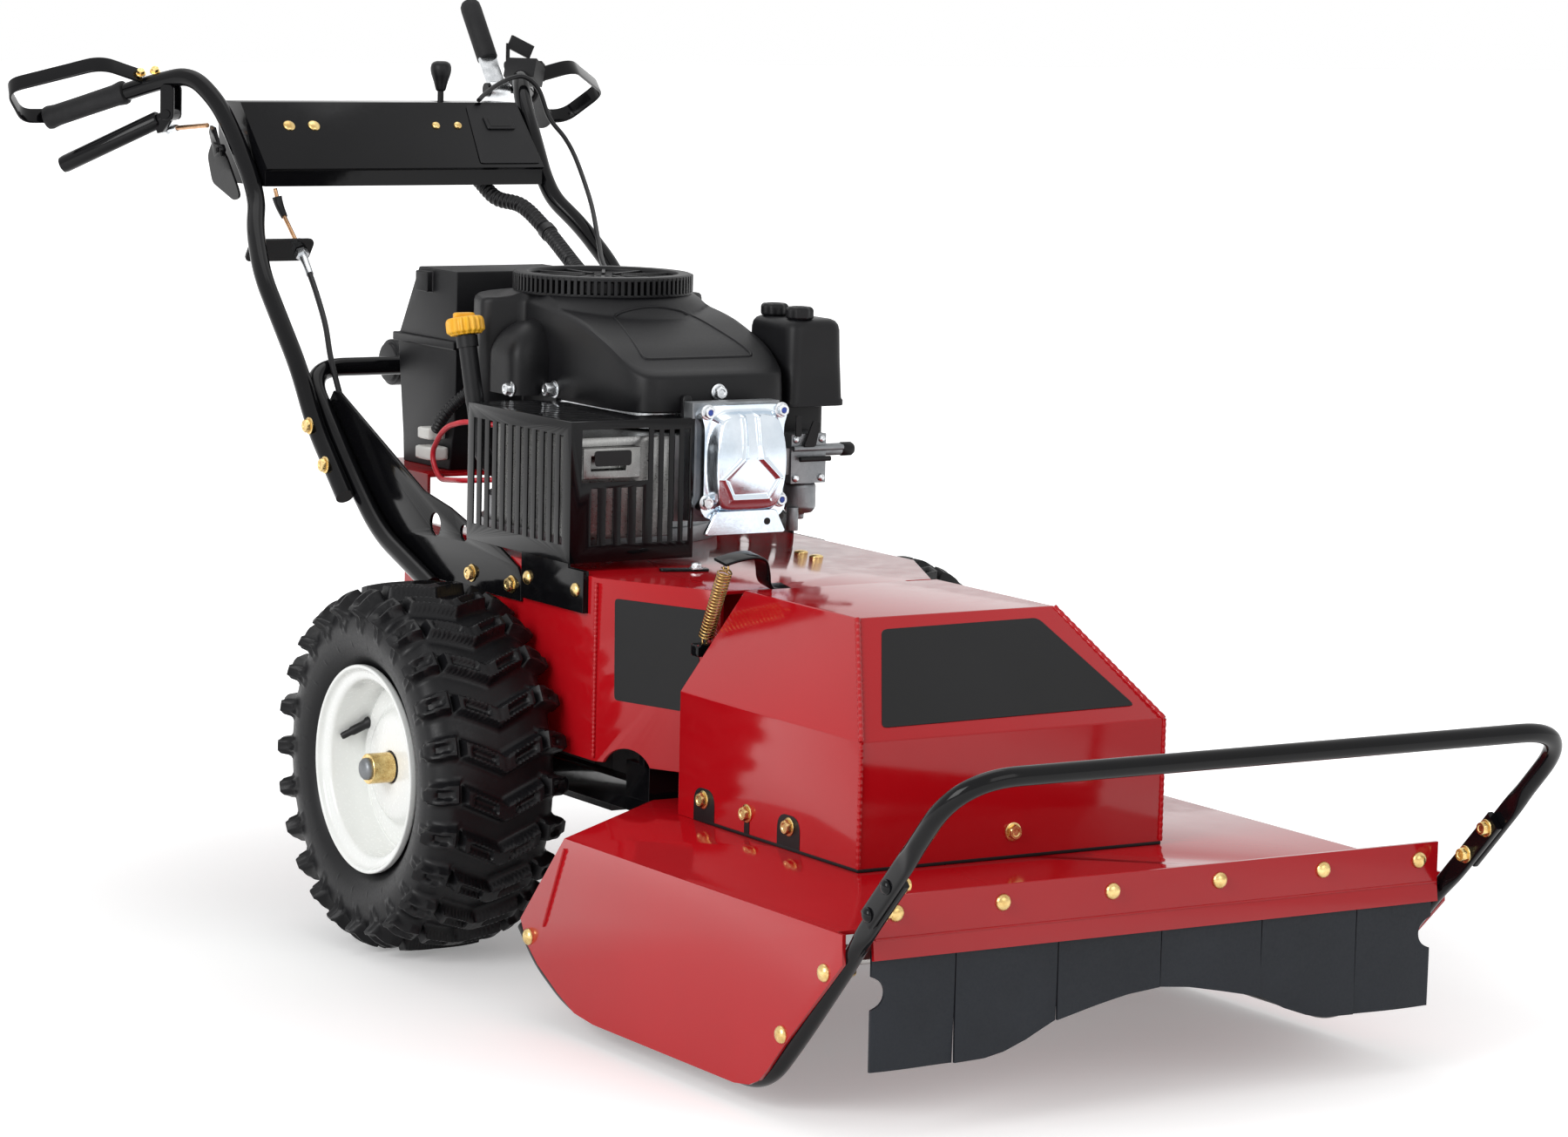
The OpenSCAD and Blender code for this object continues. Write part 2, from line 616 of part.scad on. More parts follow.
// fuel tank with its seam
module fuel_tank() {
  color([0.06, 0.06, 0.06]) mid() {
    side(-108, 168) polygon([[716, tray_z + ch_t], [834, tray_z + ch_t], [836, 530], [852, 646],
      [800, 734], [704, 734], [704, 560]]);
    side(-113, 178) polygon([[701, 642], [857, 642], [857, 652], [701, 652]]);
    translate([-116, 764, 706]) cube([30, 30, 24]);
  }
}

// vapour canister behind the tank
module canister() {
  can_r = 28;
  can_y = hoop_top[0] + bar_d / 2 + can_r + seat_gap;
  color([0.07, 0.07, 0.07]) mid() translate([-88, can_y, hoop_top[1]]) rotate([0, 90, 0]) {
    cylinder(r = can_r, h = 70);
    translate([0, 0, -4]) cylinder(r = 24, h = 78);
  }
}

// crankshaft with flywheel fan and belt pulley
module pulley(r, h) {
  rotate_extrude($fn = 64) polygon([[0, -h / 2], [r, -h / 2], [r, -h / 2 + 2], [r - 10, -2], [r - 10, 2],
    [r, h / 2 - 2], [r, h / 2], [0, h / 2]]);
}
module crankshaft() {
  color([0.45, 0.45, 0.46]) mid() translate([0, crank_y, 0]) {
    translate([0, 0, belt_z - 26]) cylinder(d = crank_d, h = eng_z + 180 - belt_z + 26);
    translate([0, 0, eng_z + 152]) cylinder(r = 100, h = 26);
    for (i = [0:11]) rotate([0, 0, 30 * i]) translate([50, -2, eng_z + 176]) cube([44, 4, 30]);
    translate([0, 0, belt_z]) pulley(52, 24);
  }
}

// blade belt round the two pulleys
module drive_belt() {
  color([0.1, 0.1, 0.1]) mid() translate([0, 0, belt_z - 5]) linear_extrude(10) difference() {
    hull() {
      translate([0, crank_y]) circle(r = 54, $fn = 40);
      translate([0, spin_y]) circle(r = 66, $fn = 40);
    }
    hull() {
      translate([0, crank_y]) circle(r = 46, $fn = 40);
      translate([0, spin_y]) circle(r = 58, $fn = 40);
    }
  }
}

// deck: top plate, side skirts, sloped rear corners and front flange
rear_x = 168;
rear_edge = 122;
sk_x = deck_w / 2;
flange_x = skid_x - skid_d / 2 - 1;
fold_low = flange_low + 20;
edge_turn = atan2(rear_edge + 33, sk_x - rear_x);
edge_len = norm([rear_edge + 33, sk_x - rear_x]);
module skirt_view() {
  polygon([[-33, deck_z], [flange_y + 16, deck_z], [flange_y + 15, 176], [-471, 79], [-440, 46], [-426, 34],
    [-408, 26], [-380, 22], [-100, 22], [-60, 26], [-24, 40], [20, 62], [44, 80], [58, 104]]);
}
module deck() {
  color([0.75, 0.05, 0.06]) mid() {
    difference() {
      translate([0, 0, deck_z - deck_t]) linear_extrude(deck_t)
        polygon([[-sk_x, flange_y + deck_t], [sk_x, flange_y + deck_t], [sk_x, -33], [rear_x, rear_edge],
        [-rear_x, rear_edge], [-sk_x, -33]]);
      translate([0, spin_y, deck_z - 20]) cylinder(r = 46, h = 40);
      both() translate([-sk_x - 1, flange_y - 1, deck_z - 20]) cube([sk_x - flange_x + 3, 33, 40]);
    }
    both() side(-sk_x, deck_t) skirt_view();
    both() intersection() {
      translate([-sk_x, -33, deck_z]) rotate([0, 0, edge_turn]) rotate([35, 0, 0]) translate([-60, -4, -124])
        cube([60 + edge_len, 3, 130]);
      translate([-sk_x + 1, -80, 60]) cube([2 * sk_x - 2, rear_edge + 76, deck_z - 61]);
    }
    translate([-rear_x - 4, rear_edge - 4, 140]) cube([2 * rear_x + 8, 4, deck_z - 141]);
    translate([-flange_x, flange_y, fold_low]) cube([2 * flange_x, deck_t, flange_top - fold_low]);
    translate([-flange_x, flange_y, fold_low]) rotate([-8, 0, 0]) translate([0, 0, flange_low - fold_low])
      cube([2 * flange_x, deck_t, fold_low - flange_low + 2]);
    translate([-26, -60, deck_z]) difference() {
      union() {
        cube([52, 80, pivot_z - deck_z]);
        translate([26, 0, pivot_z - deck_z]) rotate([-90, 0, 0]) cylinder(r = 26, h = 80);
      }
      translate([26, -1, pivot_z - deck_z]) rotate([-90, 0, 0]) cylinder(r = pivot_d / 2 + run_gap, h = 82);
    }
  }
}

// folded belt cover, open to the rear and below
module cover_solid(w, y0, y1, zb, zf, wt, yt0, yt1, zt) {
  translate([-w / 2, y0, zb]) cube([w, y1 - y0, zf - zb]);
  hull() {
    translate([-w / 2, y0, zf - 0.5]) cube([w, y1 - y0, 0.5]);
    translate([-wt / 2, yt0, zt - 0.5]) cube([wt, yt1 - yt0, 0.5]);
  }
}
module belt_cover() {
  ct = cover_t;
  color([0.75, 0.05, 0.06]) mid() {
    difference() {
      cover_solid(cover_w, cover_y, cover_rear, deck_z, fold_z, cover_top_w, cover_y + 113, cover_rear - 21,
        cover_top);
      cover_solid(cover_w - 2 * ct, cover_y + ct, cover_rear + 40, deck_z - 5, fold_z - ct / 2,
        cover_top_w - 2 * ct, cover_y + 113 + ct, cover_rear + 40, cover_top - ct);
    }
  }
}

// skid tubes with flattened front ends
skid_path = rounded([[-skid_x, 70, 94], [-skid_x, 34, 62], [-skid_x, -40, skid_z], [-skid_x, -418, skid_z],
  [-skid_x, -476, 84], [-skid_x, -606, 222]], 34, 5);
tab_at = [-600, 216];
tab_t = 8;
tab_turn = 46.5;
tab_x = skid_x + tab_t;
module skid_tubes() {
  color([0.05, 0.05, 0.05]) mid() both() {
    sweep(skid_path, skid_d / 2);
    translate([-tab_x, tab_at[0], tab_at[1]]) rotate([-tab_turn, 0, 0]) translate([0, -80, -11])
      cube([tab_t, 86, 22]);
  }
}

// front bumper hoop with flattened ends
bump_x = tab_x + seat_gap + tab_t / 2;
bump_path = rounded([[-bump_x, -660, 279], [-bump_x, bar_y, bar_z], [bump_x, bar_y, bar_z],
  [bump_x, -660, 279]], 62, 6);
module bumper() {
  color([0.05, 0.05, 0.05]) mid() {
    sweep(bump_path, skid_d / 2);
    both() translate([-tab_x - seat_gap - tab_t, tab_at[0], tab_at[1]]) rotate([-tab_turn, 0, 0])
      translate([0, -98, -11]) cube([tab_t, 82, 22]);
  }
}

// steel strip that clamps the flaps to the flange
clamp_low = flange_low + 9;
clamp_x = flange_x - 3.7;
module flap_clamp() {
  color([0.3, 0.3, 0.3]) mid() translate([-clamp_x, flange_y + deck_t + seat_gap / 3, clamp_low])
    cube([2 * clamp_x, 5, deck_z - deck_t - clamp_low - seat_gap]);
}

// spindle housing bolted on the deck
module spindle_housing() {
  color([0.25, 0.26, 0.27]) mid() translate([0, spin_y, 0]) difference() {
    union() {
      translate([0, 0, deck_z]) cylinder(r = 72, h = 10);
      translate([0, 0, 128]) cylinder(r = 44, h = 170);
    }
    translate([0, 0, 100]) cylinder(r = spin_d / 2 + run_gap, h = 240);
  }
}

// spindle shaft with its pulley
blade_z = 98;
module spindle() {
  color([0.5, 0.5, 0.51]) mid() translate([0, spin_y, 0]) {
    translate([0, 0, blade_z - 8]) cylinder(d = spin_d, h = belt_z + 24 - blade_z + 8);
    translate([0, 0, belt_z]) pulley(64, 24);
    translate([0, 0, blade_z + blade_t]) cylinder(r = 36, h = 16);
    translate([0, 0, blade_z - 14]) cylinder(d = 36, h = 14 - seat_gap, $fn = 6);
  }
}

// mowing blade
module blade() {
  color([0.3, 0.3, 0.31]) mid() translate([0, spin_y, blade_z]) difference() {
    intersection() {
      union() {
        translate([-blade_len / 2, -35, 0]) cube([blade_len, 70, blade_t - seat_gap]);
        translate([0, 0, 0]) cylinder(r = 60, h = blade_t - seat_gap);
      }
      cylinder(r = blade_len / 2, h = 20, $fn = 96);
    }
    translate([0, 0, -1]) cylinder(r = spin_d / 2 + 0.1, h = 20);
  }
}

// six rubber flaps below the flange
flap_x = (flange_x - 1.7) * [-1, -0.716, -0.364, 0, 0.364, 0.716, 1];
flap_top = clamp_low - 0.8;
flap_side = 0.6;
bead_z = clamp_low - 3;
bead_r = flap_t / 2 + 0.4;
function flap_w(i) = flap_x[i] - flap_x[i - 1] - 2 * flap_side;
module flap(i, low) {
  color([0.06, 0.07, 0.09]) mid() {
    translate([0, flange_y + deck_t + 0.6 + flap_t, 0]) rotate([90, 0, 0]) linear_extrude(flap_t)
      difference() {
        polygon(concat([[flap_x[i - 1] + flap_side, flap_top], [flap_x[i] - flap_side, flap_top]], low));
        if (i == 1) translate([flap_x[0], 148]) circle(r = 15);
        if (i == 6) translate([flap_x[6], 148]) circle(r = 15);
      }
    translate([flap_x[i - 1] + flap_side, flange_y + deck_t + 0.6 + flap_t / 2, bead_z]) rotate([0, 90, 0])
      cylinder(r = bead_r, h = flap_w(i), $fn = 24);
  }
}
function strip_low(i, l) = [for (q = l) [flap_x[i - 1] + flap_side + q[0] * flap_w(i), q[1]]];
module flap_1() {
  flap(1, strip_low(1, [[1, flap_low], [0, flap_low]]));
}
module flap_2() {
  flap(2, strip_low(2, [[1, flap_low + 30], [0.72, flap_low + 14], [0.5, flap_low + 5], [0.3, flap_low + 1],
    [0, flap_low]]));
}
module flap_3() {
  flap(3, strip_low(3, [[1, flap_low + 51], [0.7, flap_low + 47], [0.4, flap_low + 40], [0, flap_low + 30]]));
}
module flap_4() {
  flap(4, strip_low(4, [[1, flap_low + 30], [0.6, flap_low + 40], [0.3, flap_low + 47], [0, flap_low + 51]]));
}
module flap_5() {
  flap(5, strip_low(5, [[1, flap_low], [0.7, flap_low + 1], [0.5, flap_low + 5], [0.28, flap_low + 14],
    [0, flap_low + 30]]));
}
module flap_6() {
  flap(6, strip_low(6, [[1, flap_low], [0, flap_low]]));
}

// black strap on the chassis top that holds the spring
strap_z = seat_z + 34;
module spring_strap() {
  color([0.05, 0.05, 0.05]) mid() {
    translate([-96, cover_rear - 15, seat_z]) cube([40, 22, 4]);
    translate([-96, cover_rear - 15, seat_z]) cube([4, 22, 34]);
    translate([-154, 4, strap_z]) cube([62, 22, 4]);
    translate([-96, 4, strap_z]) cube([4, cover_rear, 4]);
  }
}

// wound spring from the strap down to the chassis tab
spr_a = [-149, nose_y + 9, 384];
spr_b = [-146, 14, strap_z];
spr_r = (spr_d - spr_wire) / 2;
spr_ax = unit(spr_b - spr_a);
spr_len = norm(spr_b - spr_a);
spr_u = unit(cross(spr_ax, [1, 0, 0]));
spr_v = cross(spr_ax, spr_u);
coil_lo = 9;
coil_len = spr_len - 18;
coil = [for (i = [0:8 * spr_n]) let (a = 45 * i) spr_a + spr_ax * (coil_lo + coil_len * i / (8 * spr_n))
  + spr_r * (cos(a) * spr_u + sin(a) * spr_v)];
wire = concat([spr_a + 0.9 * spr_ax, spr_a + 4 * spr_ax], coil, [spr_b - 4 * spr_ax, spr_b - 0.9 * spr_ax]);
echo(spring_self_gap = norm(coil[8] - coil[0]) - spr_wire);
module tension_spring() {
  color([0.72, 0.5, 0.2]) mid() sweep(wire, spr_wire / 2, 6);
}

// squeeze lever under the grip, turning on the pin of the tube's ears, with a side pin for the rod
lev_b = grip_b + [14, -15, -58];
lev_dir = unit(lev_b - lev_a);
eye_at = [18, 14, -20];
rod_pin = 4;
module drive_lever() {
  color([0.05, 0.05, 0.05]) mid() difference() {
    union() {
      sweep([lev_a + 20 * lev_dir, lev_b], 11, 20);
      sweep([lev_a, lev_a + 24 * lev_dir], 7, 16);
      translate(lev_a) rotate([0, 0, lev_turn]) {
        translate([-8, 0, 0]) rotate([0, 90, 0]) cylinder(r = 9, h = 16);
        side(-6, 9.5) polygon([[-5, -4], [6, 2], [19, -17], [16, -25], [9, -23]]);
        translate([0, eye_at[1], eye_at[2]]) rotate([0, 90, 0]) cylinder(r = rod_pin, h = 23);
      }
    }
    translate(lev_a) rotate([0, 0, lev_turn]) translate([-20, 0, 0]) rotate([0, 90, 0])
      cylinder(r = lev_pin + run_gap, h = 40);
  }
}

// eye and rod from the lever to the crank
eye_pt = lev_a + [eye_at[0] * cos(lev_turn) - eye_at[1] * sin(lev_turn),
  eye_at[0] * sin(lev_turn) + eye_at[1] * cos(lev_turn), eye_at[2]];
rod_end = [-plate_x - 14.8, 1128, 886];
rod_dir = unit(rod_end - eye_pt);
module drive_rod() {
  color([0.7, 0.5, 0.3]) mid() difference() {
    union() {
      translate(eye_pt) rotate([0, 0, lev_turn]) translate([-3.5, 0, 0]) rotate([0, 90, 0])
        cylinder(r = 7.5, h = 7);
      sweep([eye_pt + 5 * rod_dir, eye_pt + 26 * rod_dir], 4.6, 10);
      sweep([eye_pt + 24 * rod_dir, rod_end], 3, 8);
    }
    translate(eye_pt) rotate([0, 0, lev_turn]) translate([-12, 0, 0]) rotate([0, 90, 0])
      cylinder(r = rod_pin + run_gap, h = 24);
  }
}

// bell crank on the tube's plate
module bell_crank() {
  color([0.06, 0.06, 0.06]) mid() difference() {
    union() {
      side(-plate_x - 11, 3.5) polygon([[1096, 850], [1116, 848], [1132, 878], [1128, 886], [1118, 884]]);
      translate([-plate_x - 11, bell_at[0], bell_at[1]]) rotate([0, 90, 0])
        cylinder(d = 14, h = 8 - seat_gap);
    }
    translate([-plate_x - 20, bell_at[0], bell_at[1]]) rotate([0, 90, 0])
      cylinder(r = bell_pin + run_gap, h = 30);
  }
}

// raised blade lever on the other handle
bl_top = bl_at + lever_len * [0, 83, 110] / 138;
bl_dir = unit(bl_top - bl_at);
module blade_lever() {
  color([0.06, 0.06, 0.06]) mid() difference() {
    union() {
      sweep([bl_at, bl_at + 52 * bl_dir], 9, 16);
      sweep([bl_at + 50 * bl_dir, bl_top], 13.5, 24);
      translate(bl_at - [14, 0, 0]) rotate([0, 90, 0]) cylinder(d = 22, h = 28);
    }
    translate(bl_at - [30, 0, 0]) rotate([0, 90, 0]) cylinder(r = bl_pin + run_gap, h = 60);
  }
}

// lock paddle beside the blade lever
module lock_paddle() {
  color([0.06, 0.06, 0.06]) mid() difference() {
    union() {
      translate([256, lock_at[0], lock_at[1]]) rotate([0, 90, 0]) cylinder(r = 5.5, h = 7.5);
      translate([257, lock_at[0] - 1.8, lock_at[1] + 1]) cube([4, 3.6, 28]);
      translate([258, lock_at[0] - 2.2, lock_at[1] + 23]) rotate([0, 24, 0]) cube([35, 4.4, 18]);
    }
    translate([250, lock_at[0], lock_at[1]]) rotate([0, 90, 0]) cylinder(r = lock_pin + run_gap, h = 20);
  }
}

// shift lever through the console top
module shift_lever() {
  color([0.05, 0.05, 0.05]) mid() translate(shift_at) difference() {
    union() {
      cylinder(d = 8, h = 76);
      translate([0, 0, 70]) rotate_extrude($fn = 40) polygon([[0, 0], [6, 0], [9, 8], [13, 20], [13.5, 28],
        [11, 33], [6, 36], [0, 36]]);
      translate([-10, 0, 0]) rotate([0, 90, 0]) cylinder(d = 15, h = 20);
    }
    translate([-20, 0, 0]) rotate([0, 90, 0]) cylinder(r = shift_pin + run_gap, h = 40);
  }
}

// drive cable from the console down to the gearbox
cab_x = 9 - ch_w / 2;
drive_path = [[-172, 1062, 812], [-168, 1056, 790], [-166, 1030, 764], [-165, 1003, 739], [-168, 972, 714],
  [-174, 938, 689], [cab_x + 13, 897, 657], [cab_x + 3, 862, 622], [cab_x, 834, 586], [cab_x - 1, 812, 557],
  [cab_x + 1, 783, 520], [cab_x + 4, 756, 492], [cab_x + 6, 728, 462], [cab_x + 8, 707, 432],
  [cab_x + 18, 680, 395], [-150, 655, 350], [-126, 638, 326], [-100, 612, 295], [-75, 560, 258],
  [-54, 530, 226], [-50, axle_y + 103, 216], [-50, axle_y + 90 + seat_gap, 216]];
module drive_cable() {
  color([0.04, 0.04, 0.04]) mid()
    skin(drive_path, [for (i = [0:len(drive_path) - 1]) i == 1 ? 6 : i == 3 ? 7 : 3.6], 10);
}

// throttle cable over the console to the engine
throttle_path = [[136, 1112, 918], [152, 1124, 926], [177, 1140, 936], [204, 1150, 945], [222, 1146, 946],
  [240, 1143, 930], [253, 1138, 895], [264, 1116, 870], [265, 1090, 847], [256, 1046, 814], [241, 1000, 786],
  [216, 940, 752], [190, 880, 726], [168, 800, 704], [150, 720, 688], [137, 660, 676], [128, 624, 668]];
module throttle_cable() {
  color([0.04, 0.04, 0.04]) mid() sweep(throttle_path, 3, 8);
}

// ribbed harness loom from the console to the engine
loom_path = rounded([[124, 1092, 822], [134, 1058, 798], [150, 1020, 790], [158, 972, 764], [156, 900, 728],
  [146, 840, 706], [138, 760, 660], [126, 700, 620], [107, 660, 590]], 60, 8);
function along(p, d, i) = i >= len(p) - 1 ? p[len(p) - 1] : let (s = norm(p[i + 1] - p[i]))
  d <= s ? p[i] + (p[i + 1] - p[i]) * d / s : along(p, d - s, i + 1);
function total(p, i) = i >= len(p) - 1 ? 0 : norm(p[i + 1] - p[i]) + total(p, i + 1);
loom_len = total(loom_path, 0);
loom_pts = [for (i = [0:2 * loom_n]) along(loom_path, loom_len * i / (2 * loom_n), 0)];
module loom() {
  color([0.05, 0.05, 0.05]) mid() difference() {
    skin(loom_pts, [for (i = [0:2 * loom_n]) i % 2 == 0 ? loom_d / 2 - 1.8 : loom_d / 2], 8);
    sweep([for (i = [0:8:len(loom_pts) - 1]) loom_pts[i]], loom_d / 2 - 4, 8);
  }
}

// red starter lead beside the engine
wire_path = rounded([[-119.2, 566, 566], [-150, 597, 570], [-146, 660, 556], [-142, 698, 521],
  [-142, 678, 493], [-150, 600, 500], [-119.4, 566, 504]], 30, 5);
module starter_wire() {
  color([0.8, 0.05, 0.1]) mid() {
    sweep(wire_path, 3.2, 8);
    translate([-134, 716, 510]) cube([26 - seat_gap, 40, 16]);
    translate([-132, 724, 534]) cube([24 - seat_gap, 30, 14]);
  }
}

// bolts of the chassis, handle and console
px = ch_w / 2 + plate_t;
module body_bolts() {
  color([0.75, 0.62, 0.3]) mid() {
    both() mirror([1, 0, 0]) {
      hex_x([px, 466, 412], 16, 6);
      hex_x([px, 372, 411], 16, 6);
      hex_x([tube_x + bar_d / 2 + seat_gap / 3, 793, 548.5], 16, 6);
      hex_x([tube_x + bar_d / 2 + seat_gap / 3, 750, 506.6], 16, 6);
    }
    mirror([1, 0, 0]) {
      dome_x([-gx - guard_t, 330, 424], 16, 5);
      dome_x([-gx - guard_t, 222, 424], 16, 5);
    }
    for (q = [[-140, 16], [-106, 16], [64, 11], [95, 11]]) translate([q[0], 1090, 887]) rotate([45, 0, 0])
      cylinder(d = q[1], h = 5, $fn = 24);
    for (q = [[120, 292], [116, 253]]) translate([q[0], q[1], seat_z]) cylinder(d = 16, h = 3, $fn = 24);
  }
}

// bolts and nuts of the deck
module deck_bolts() {
  color([0.78, 0.63, 0.28]) mid() {
    both() mirror([1, 0, 0]) {
      for (q = [[39, 88], [-540, 163], [-466, 88]]) dome_x([sk_x, q[0], q[1]], 18, 6);
      for (q = [[-17, 230], [-105, 230], [-188, 230]]) hex_x([cover_w / 2, q[0], q[1]], 15, 6);
      for (q = [-24, -68]) {
        at = [tab_at[0] + q * cos(tab_turn), tab_at[1] - q * sin(tab_turn)];
        dome_x([tab_x + seat_gap + tab_t, at[0], at[1]], 15, 5);
        hex_x([skid_x - 6, at[0], at[1]], 14, 6);
      }
    }
    for (k = [-0.927, -0.568, -0.19, 0.19, 0.568, 0.927]) translate([k * flange_x, flange_y, 225])
      rotate([0, 0, -90]) dome_x([0, 0, 0], 17, 6);
    translate([0, cover_y, 233]) rotate([0, 0, -90]) hex_x([0, 0, 0], 15, 6);
  }
}

tyre_l();
tyre_r();
rim_l();
rim_r();
axle_l();
axle_r();
transaxle();
chassis();
pivot_frame();
side_plates();
lower_hoop();
handle_tubes();
console();
grips();
hand_guards();
switch_box();
engine_block();
blower_housing();
valve_cover();
muffler();
muffler_guard();
carburettor();
air_filter();
filter_knob_a();
filter_knob_b();
dip_tube();
dipstick();
fuel_tank();
canister();
crankshaft();
drive_belt();
deck();
belt_cover();
skid_tubes();
bumper();
flap_clamp();
spindle_housing();
spindle();
blade();
flap_1();
flap_2();
flap_3();
flap_4();
flap_5();
flap_6();
spring_strap();
tension_spring();
drive_lever();
drive_rod();
bell_crank();
blade_lever();
lock_paddle();
shift_lever();
drive_cable();
throttle_cable();
loom();
starter_wire();
body_bolts();
deck_bolts();
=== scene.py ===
"""Walk-behind brush mower, dressed round its CAD frame.

Shapes are worked out in millimetres of the machine's own frame, with its axle at AXLE_Y, and put in metres.
"""
import math

import bmesh
import bpy
import numpy as np
from mathutils import Matrix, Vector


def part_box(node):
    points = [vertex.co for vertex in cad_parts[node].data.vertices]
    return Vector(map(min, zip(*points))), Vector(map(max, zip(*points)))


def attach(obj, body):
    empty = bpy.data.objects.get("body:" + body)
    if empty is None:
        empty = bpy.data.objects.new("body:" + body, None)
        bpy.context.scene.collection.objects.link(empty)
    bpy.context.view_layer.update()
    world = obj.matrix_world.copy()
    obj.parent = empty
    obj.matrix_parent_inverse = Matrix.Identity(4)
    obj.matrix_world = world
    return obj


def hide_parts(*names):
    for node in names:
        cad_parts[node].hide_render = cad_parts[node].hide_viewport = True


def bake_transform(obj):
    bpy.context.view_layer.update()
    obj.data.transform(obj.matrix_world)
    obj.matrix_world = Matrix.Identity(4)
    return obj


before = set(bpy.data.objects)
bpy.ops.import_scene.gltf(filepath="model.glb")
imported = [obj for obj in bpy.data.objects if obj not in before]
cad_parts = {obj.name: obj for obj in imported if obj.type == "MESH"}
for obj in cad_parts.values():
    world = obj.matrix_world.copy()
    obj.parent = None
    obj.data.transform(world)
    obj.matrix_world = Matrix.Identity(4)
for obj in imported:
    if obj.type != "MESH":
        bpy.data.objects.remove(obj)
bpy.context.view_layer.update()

# driving sizes in millimetres, as in the part's source
AXLE_Y = 412.0
WHEEL_R = 207.0
WHEEL_X = 300.0
CRANK_Y = 547.0
SPIN_Y = -235.0
BELT_Z = 330.0
HOOD_LOW = 587.0
DECK_Z = 205.0
DECK_X = 364.0
FLANGE_Y = -586.0
COVER_X = 187.0
COVER_Y = -320.0
FOLD_Z = 338.0
BAR_R = 11.1
SKID_R = 9.5
SKID_X = 350.2
TAB_X = 354.2
BUMPER_X = 362.5
CHASSIS_TOP = 441.0

# directions: x runs to the right as seen from the front, y to the rear and z up
LEFT = (-1.0, 0, 0)
RIGHT = (1.0, 0, 0)
AHEAD = (0, -1.0, 0)
UP = (0, 0, 1.0)
DOWN = (0, 0, -1.0)
MIRROR = np.array([-1.0, 1.0, 1.0])

# millimetres in a metre, and how far the machine's own frame lies from the CAD frame, found from a rim
MM = 1000.0
rim_low, rim_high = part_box("rim_l")
rim_middle = MM * (np.array(rim_low) + np.array(rim_high)) / 2
SHIFT = (np.array([0.0, AXLE_Y, WHEEL_R]) - rim_middle) * [0, 1, 1]


# shapes: each is an array of points in millimetres and an array of the four corners of each face

def unit(v):
    """Vectors divided by their lengths."""
    v = np.asarray(v, float)
    return v / np.linalg.norm(v, axis=-1, keepdims=True)


def eased(share):
    """Share from nought to one, eased at both ends: three squares less two cubes."""
    return share * share * (3 - 2 * share)


def full_turn(count):
    """Equal angles round a full turn."""
    return np.arange(count) * 2 * np.pi / count


def grid_shape(grid, wrap_rows=False, wrap_cols=False):
    """Shape of a grid of points: quads between neighbours, joined round where a direction wraps."""
    rows, cols = grid.shape[:2]
    r = np.arange(rows if wrap_rows else rows - 1)[:, None]
    c = np.arange(cols if wrap_cols else cols - 1)[None, :]
    r2 = (r + 1) % rows
    c2 = (c + 1) % cols
    corners = np.broadcast_arrays(r * cols + c, r * cols + c2, r2 * cols + c2, r2 * cols + c)
    return grid.reshape(-1, 3), np.stack(corners, axis=-1).reshape(-1, 4)


def capped_shape(rings):
    """Shape of a pile of rings, each joined round, whose two end rings close on their middle points."""
    ends = np.repeat(rings[[0, -1]].mean(axis=1, keepdims=True), rings.shape[1], axis=1)
    return grid_shape(np.concatenate([ends[:1], rings, ends[1:]]), wrap_cols=True)


def join(*shapes):
    """Several shapes as one: points stacked, face numbers moved up by the points before them."""
    starts = np.cumsum([0] + [len(p) for p, _ in shapes])
    points = np.concatenate([p for p, _ in shapes])
    return points, np.concatenate([f + s for (_, f), s in zip(shapes, starts)])


def mirrored(*shapes):
    """The shapes and their mirror images across the machine's middle plane."""
    points, faces = join(*shapes)
    return join((points, faces), (points * MIRROR, faces[:, ::-1]))


def rounded(corners, radius, steps=8):
    """Straight runs whose corners are quadratic curves that start and end a radius away from the corner."""
    p = np.asarray(corners, float)
    t = np.linspace(0, 1, steps + 1)[:, None]
    most = 0.48
    runs = [p[:1]]
    for a, b, c in zip(p[:-2], p[1:-1], p[2:]):
        reach = min(radius, most * np.linalg.norm(a - b), most * np.linalg.norm(c - b))
        start = b + reach * unit(a - b)
        end = b + reach * unit(c - b)
        runs.append((1 - t) ** 2 * start + 2 * t * (1 - t) * b + t * t * end)
    return np.concatenate(runs + [p[-1:]])


def rounded_loop(corners, radius, steps=4):
    """Closed outline whose corners are rounded in the same way."""
    p = np.asarray(corners, float)
    return rounded(np.concatenate([p[-1:], p, p[:1]]), radius, steps)[1:-1]


def oblong(wide, high, radius, steps=3):
    """Rounded rectangle about the middle, from its two half sizes."""
    return rounded_loop([(-wide, -high), (wide, -high), (wide, high), (-wide, high)], radius, steps)


def lengths(path):
    """Distance along a path at each of its points."""
    return np.concatenate([[0], np.cumsum(np.linalg.norm(np.diff(path, axis=0), axis=1))])


def spaced(path, count, start=0.0, end=1.0):
    """Path points at equal distances, from one share of its length to another."""
    path = np.asarray(path, float)
    s = lengths(path)
    at = np.linspace(start, end, count) * s[-1]
    return np.stack([np.interp(at, s, path[:, k]) for k in range(path.shape[1])], axis=1)


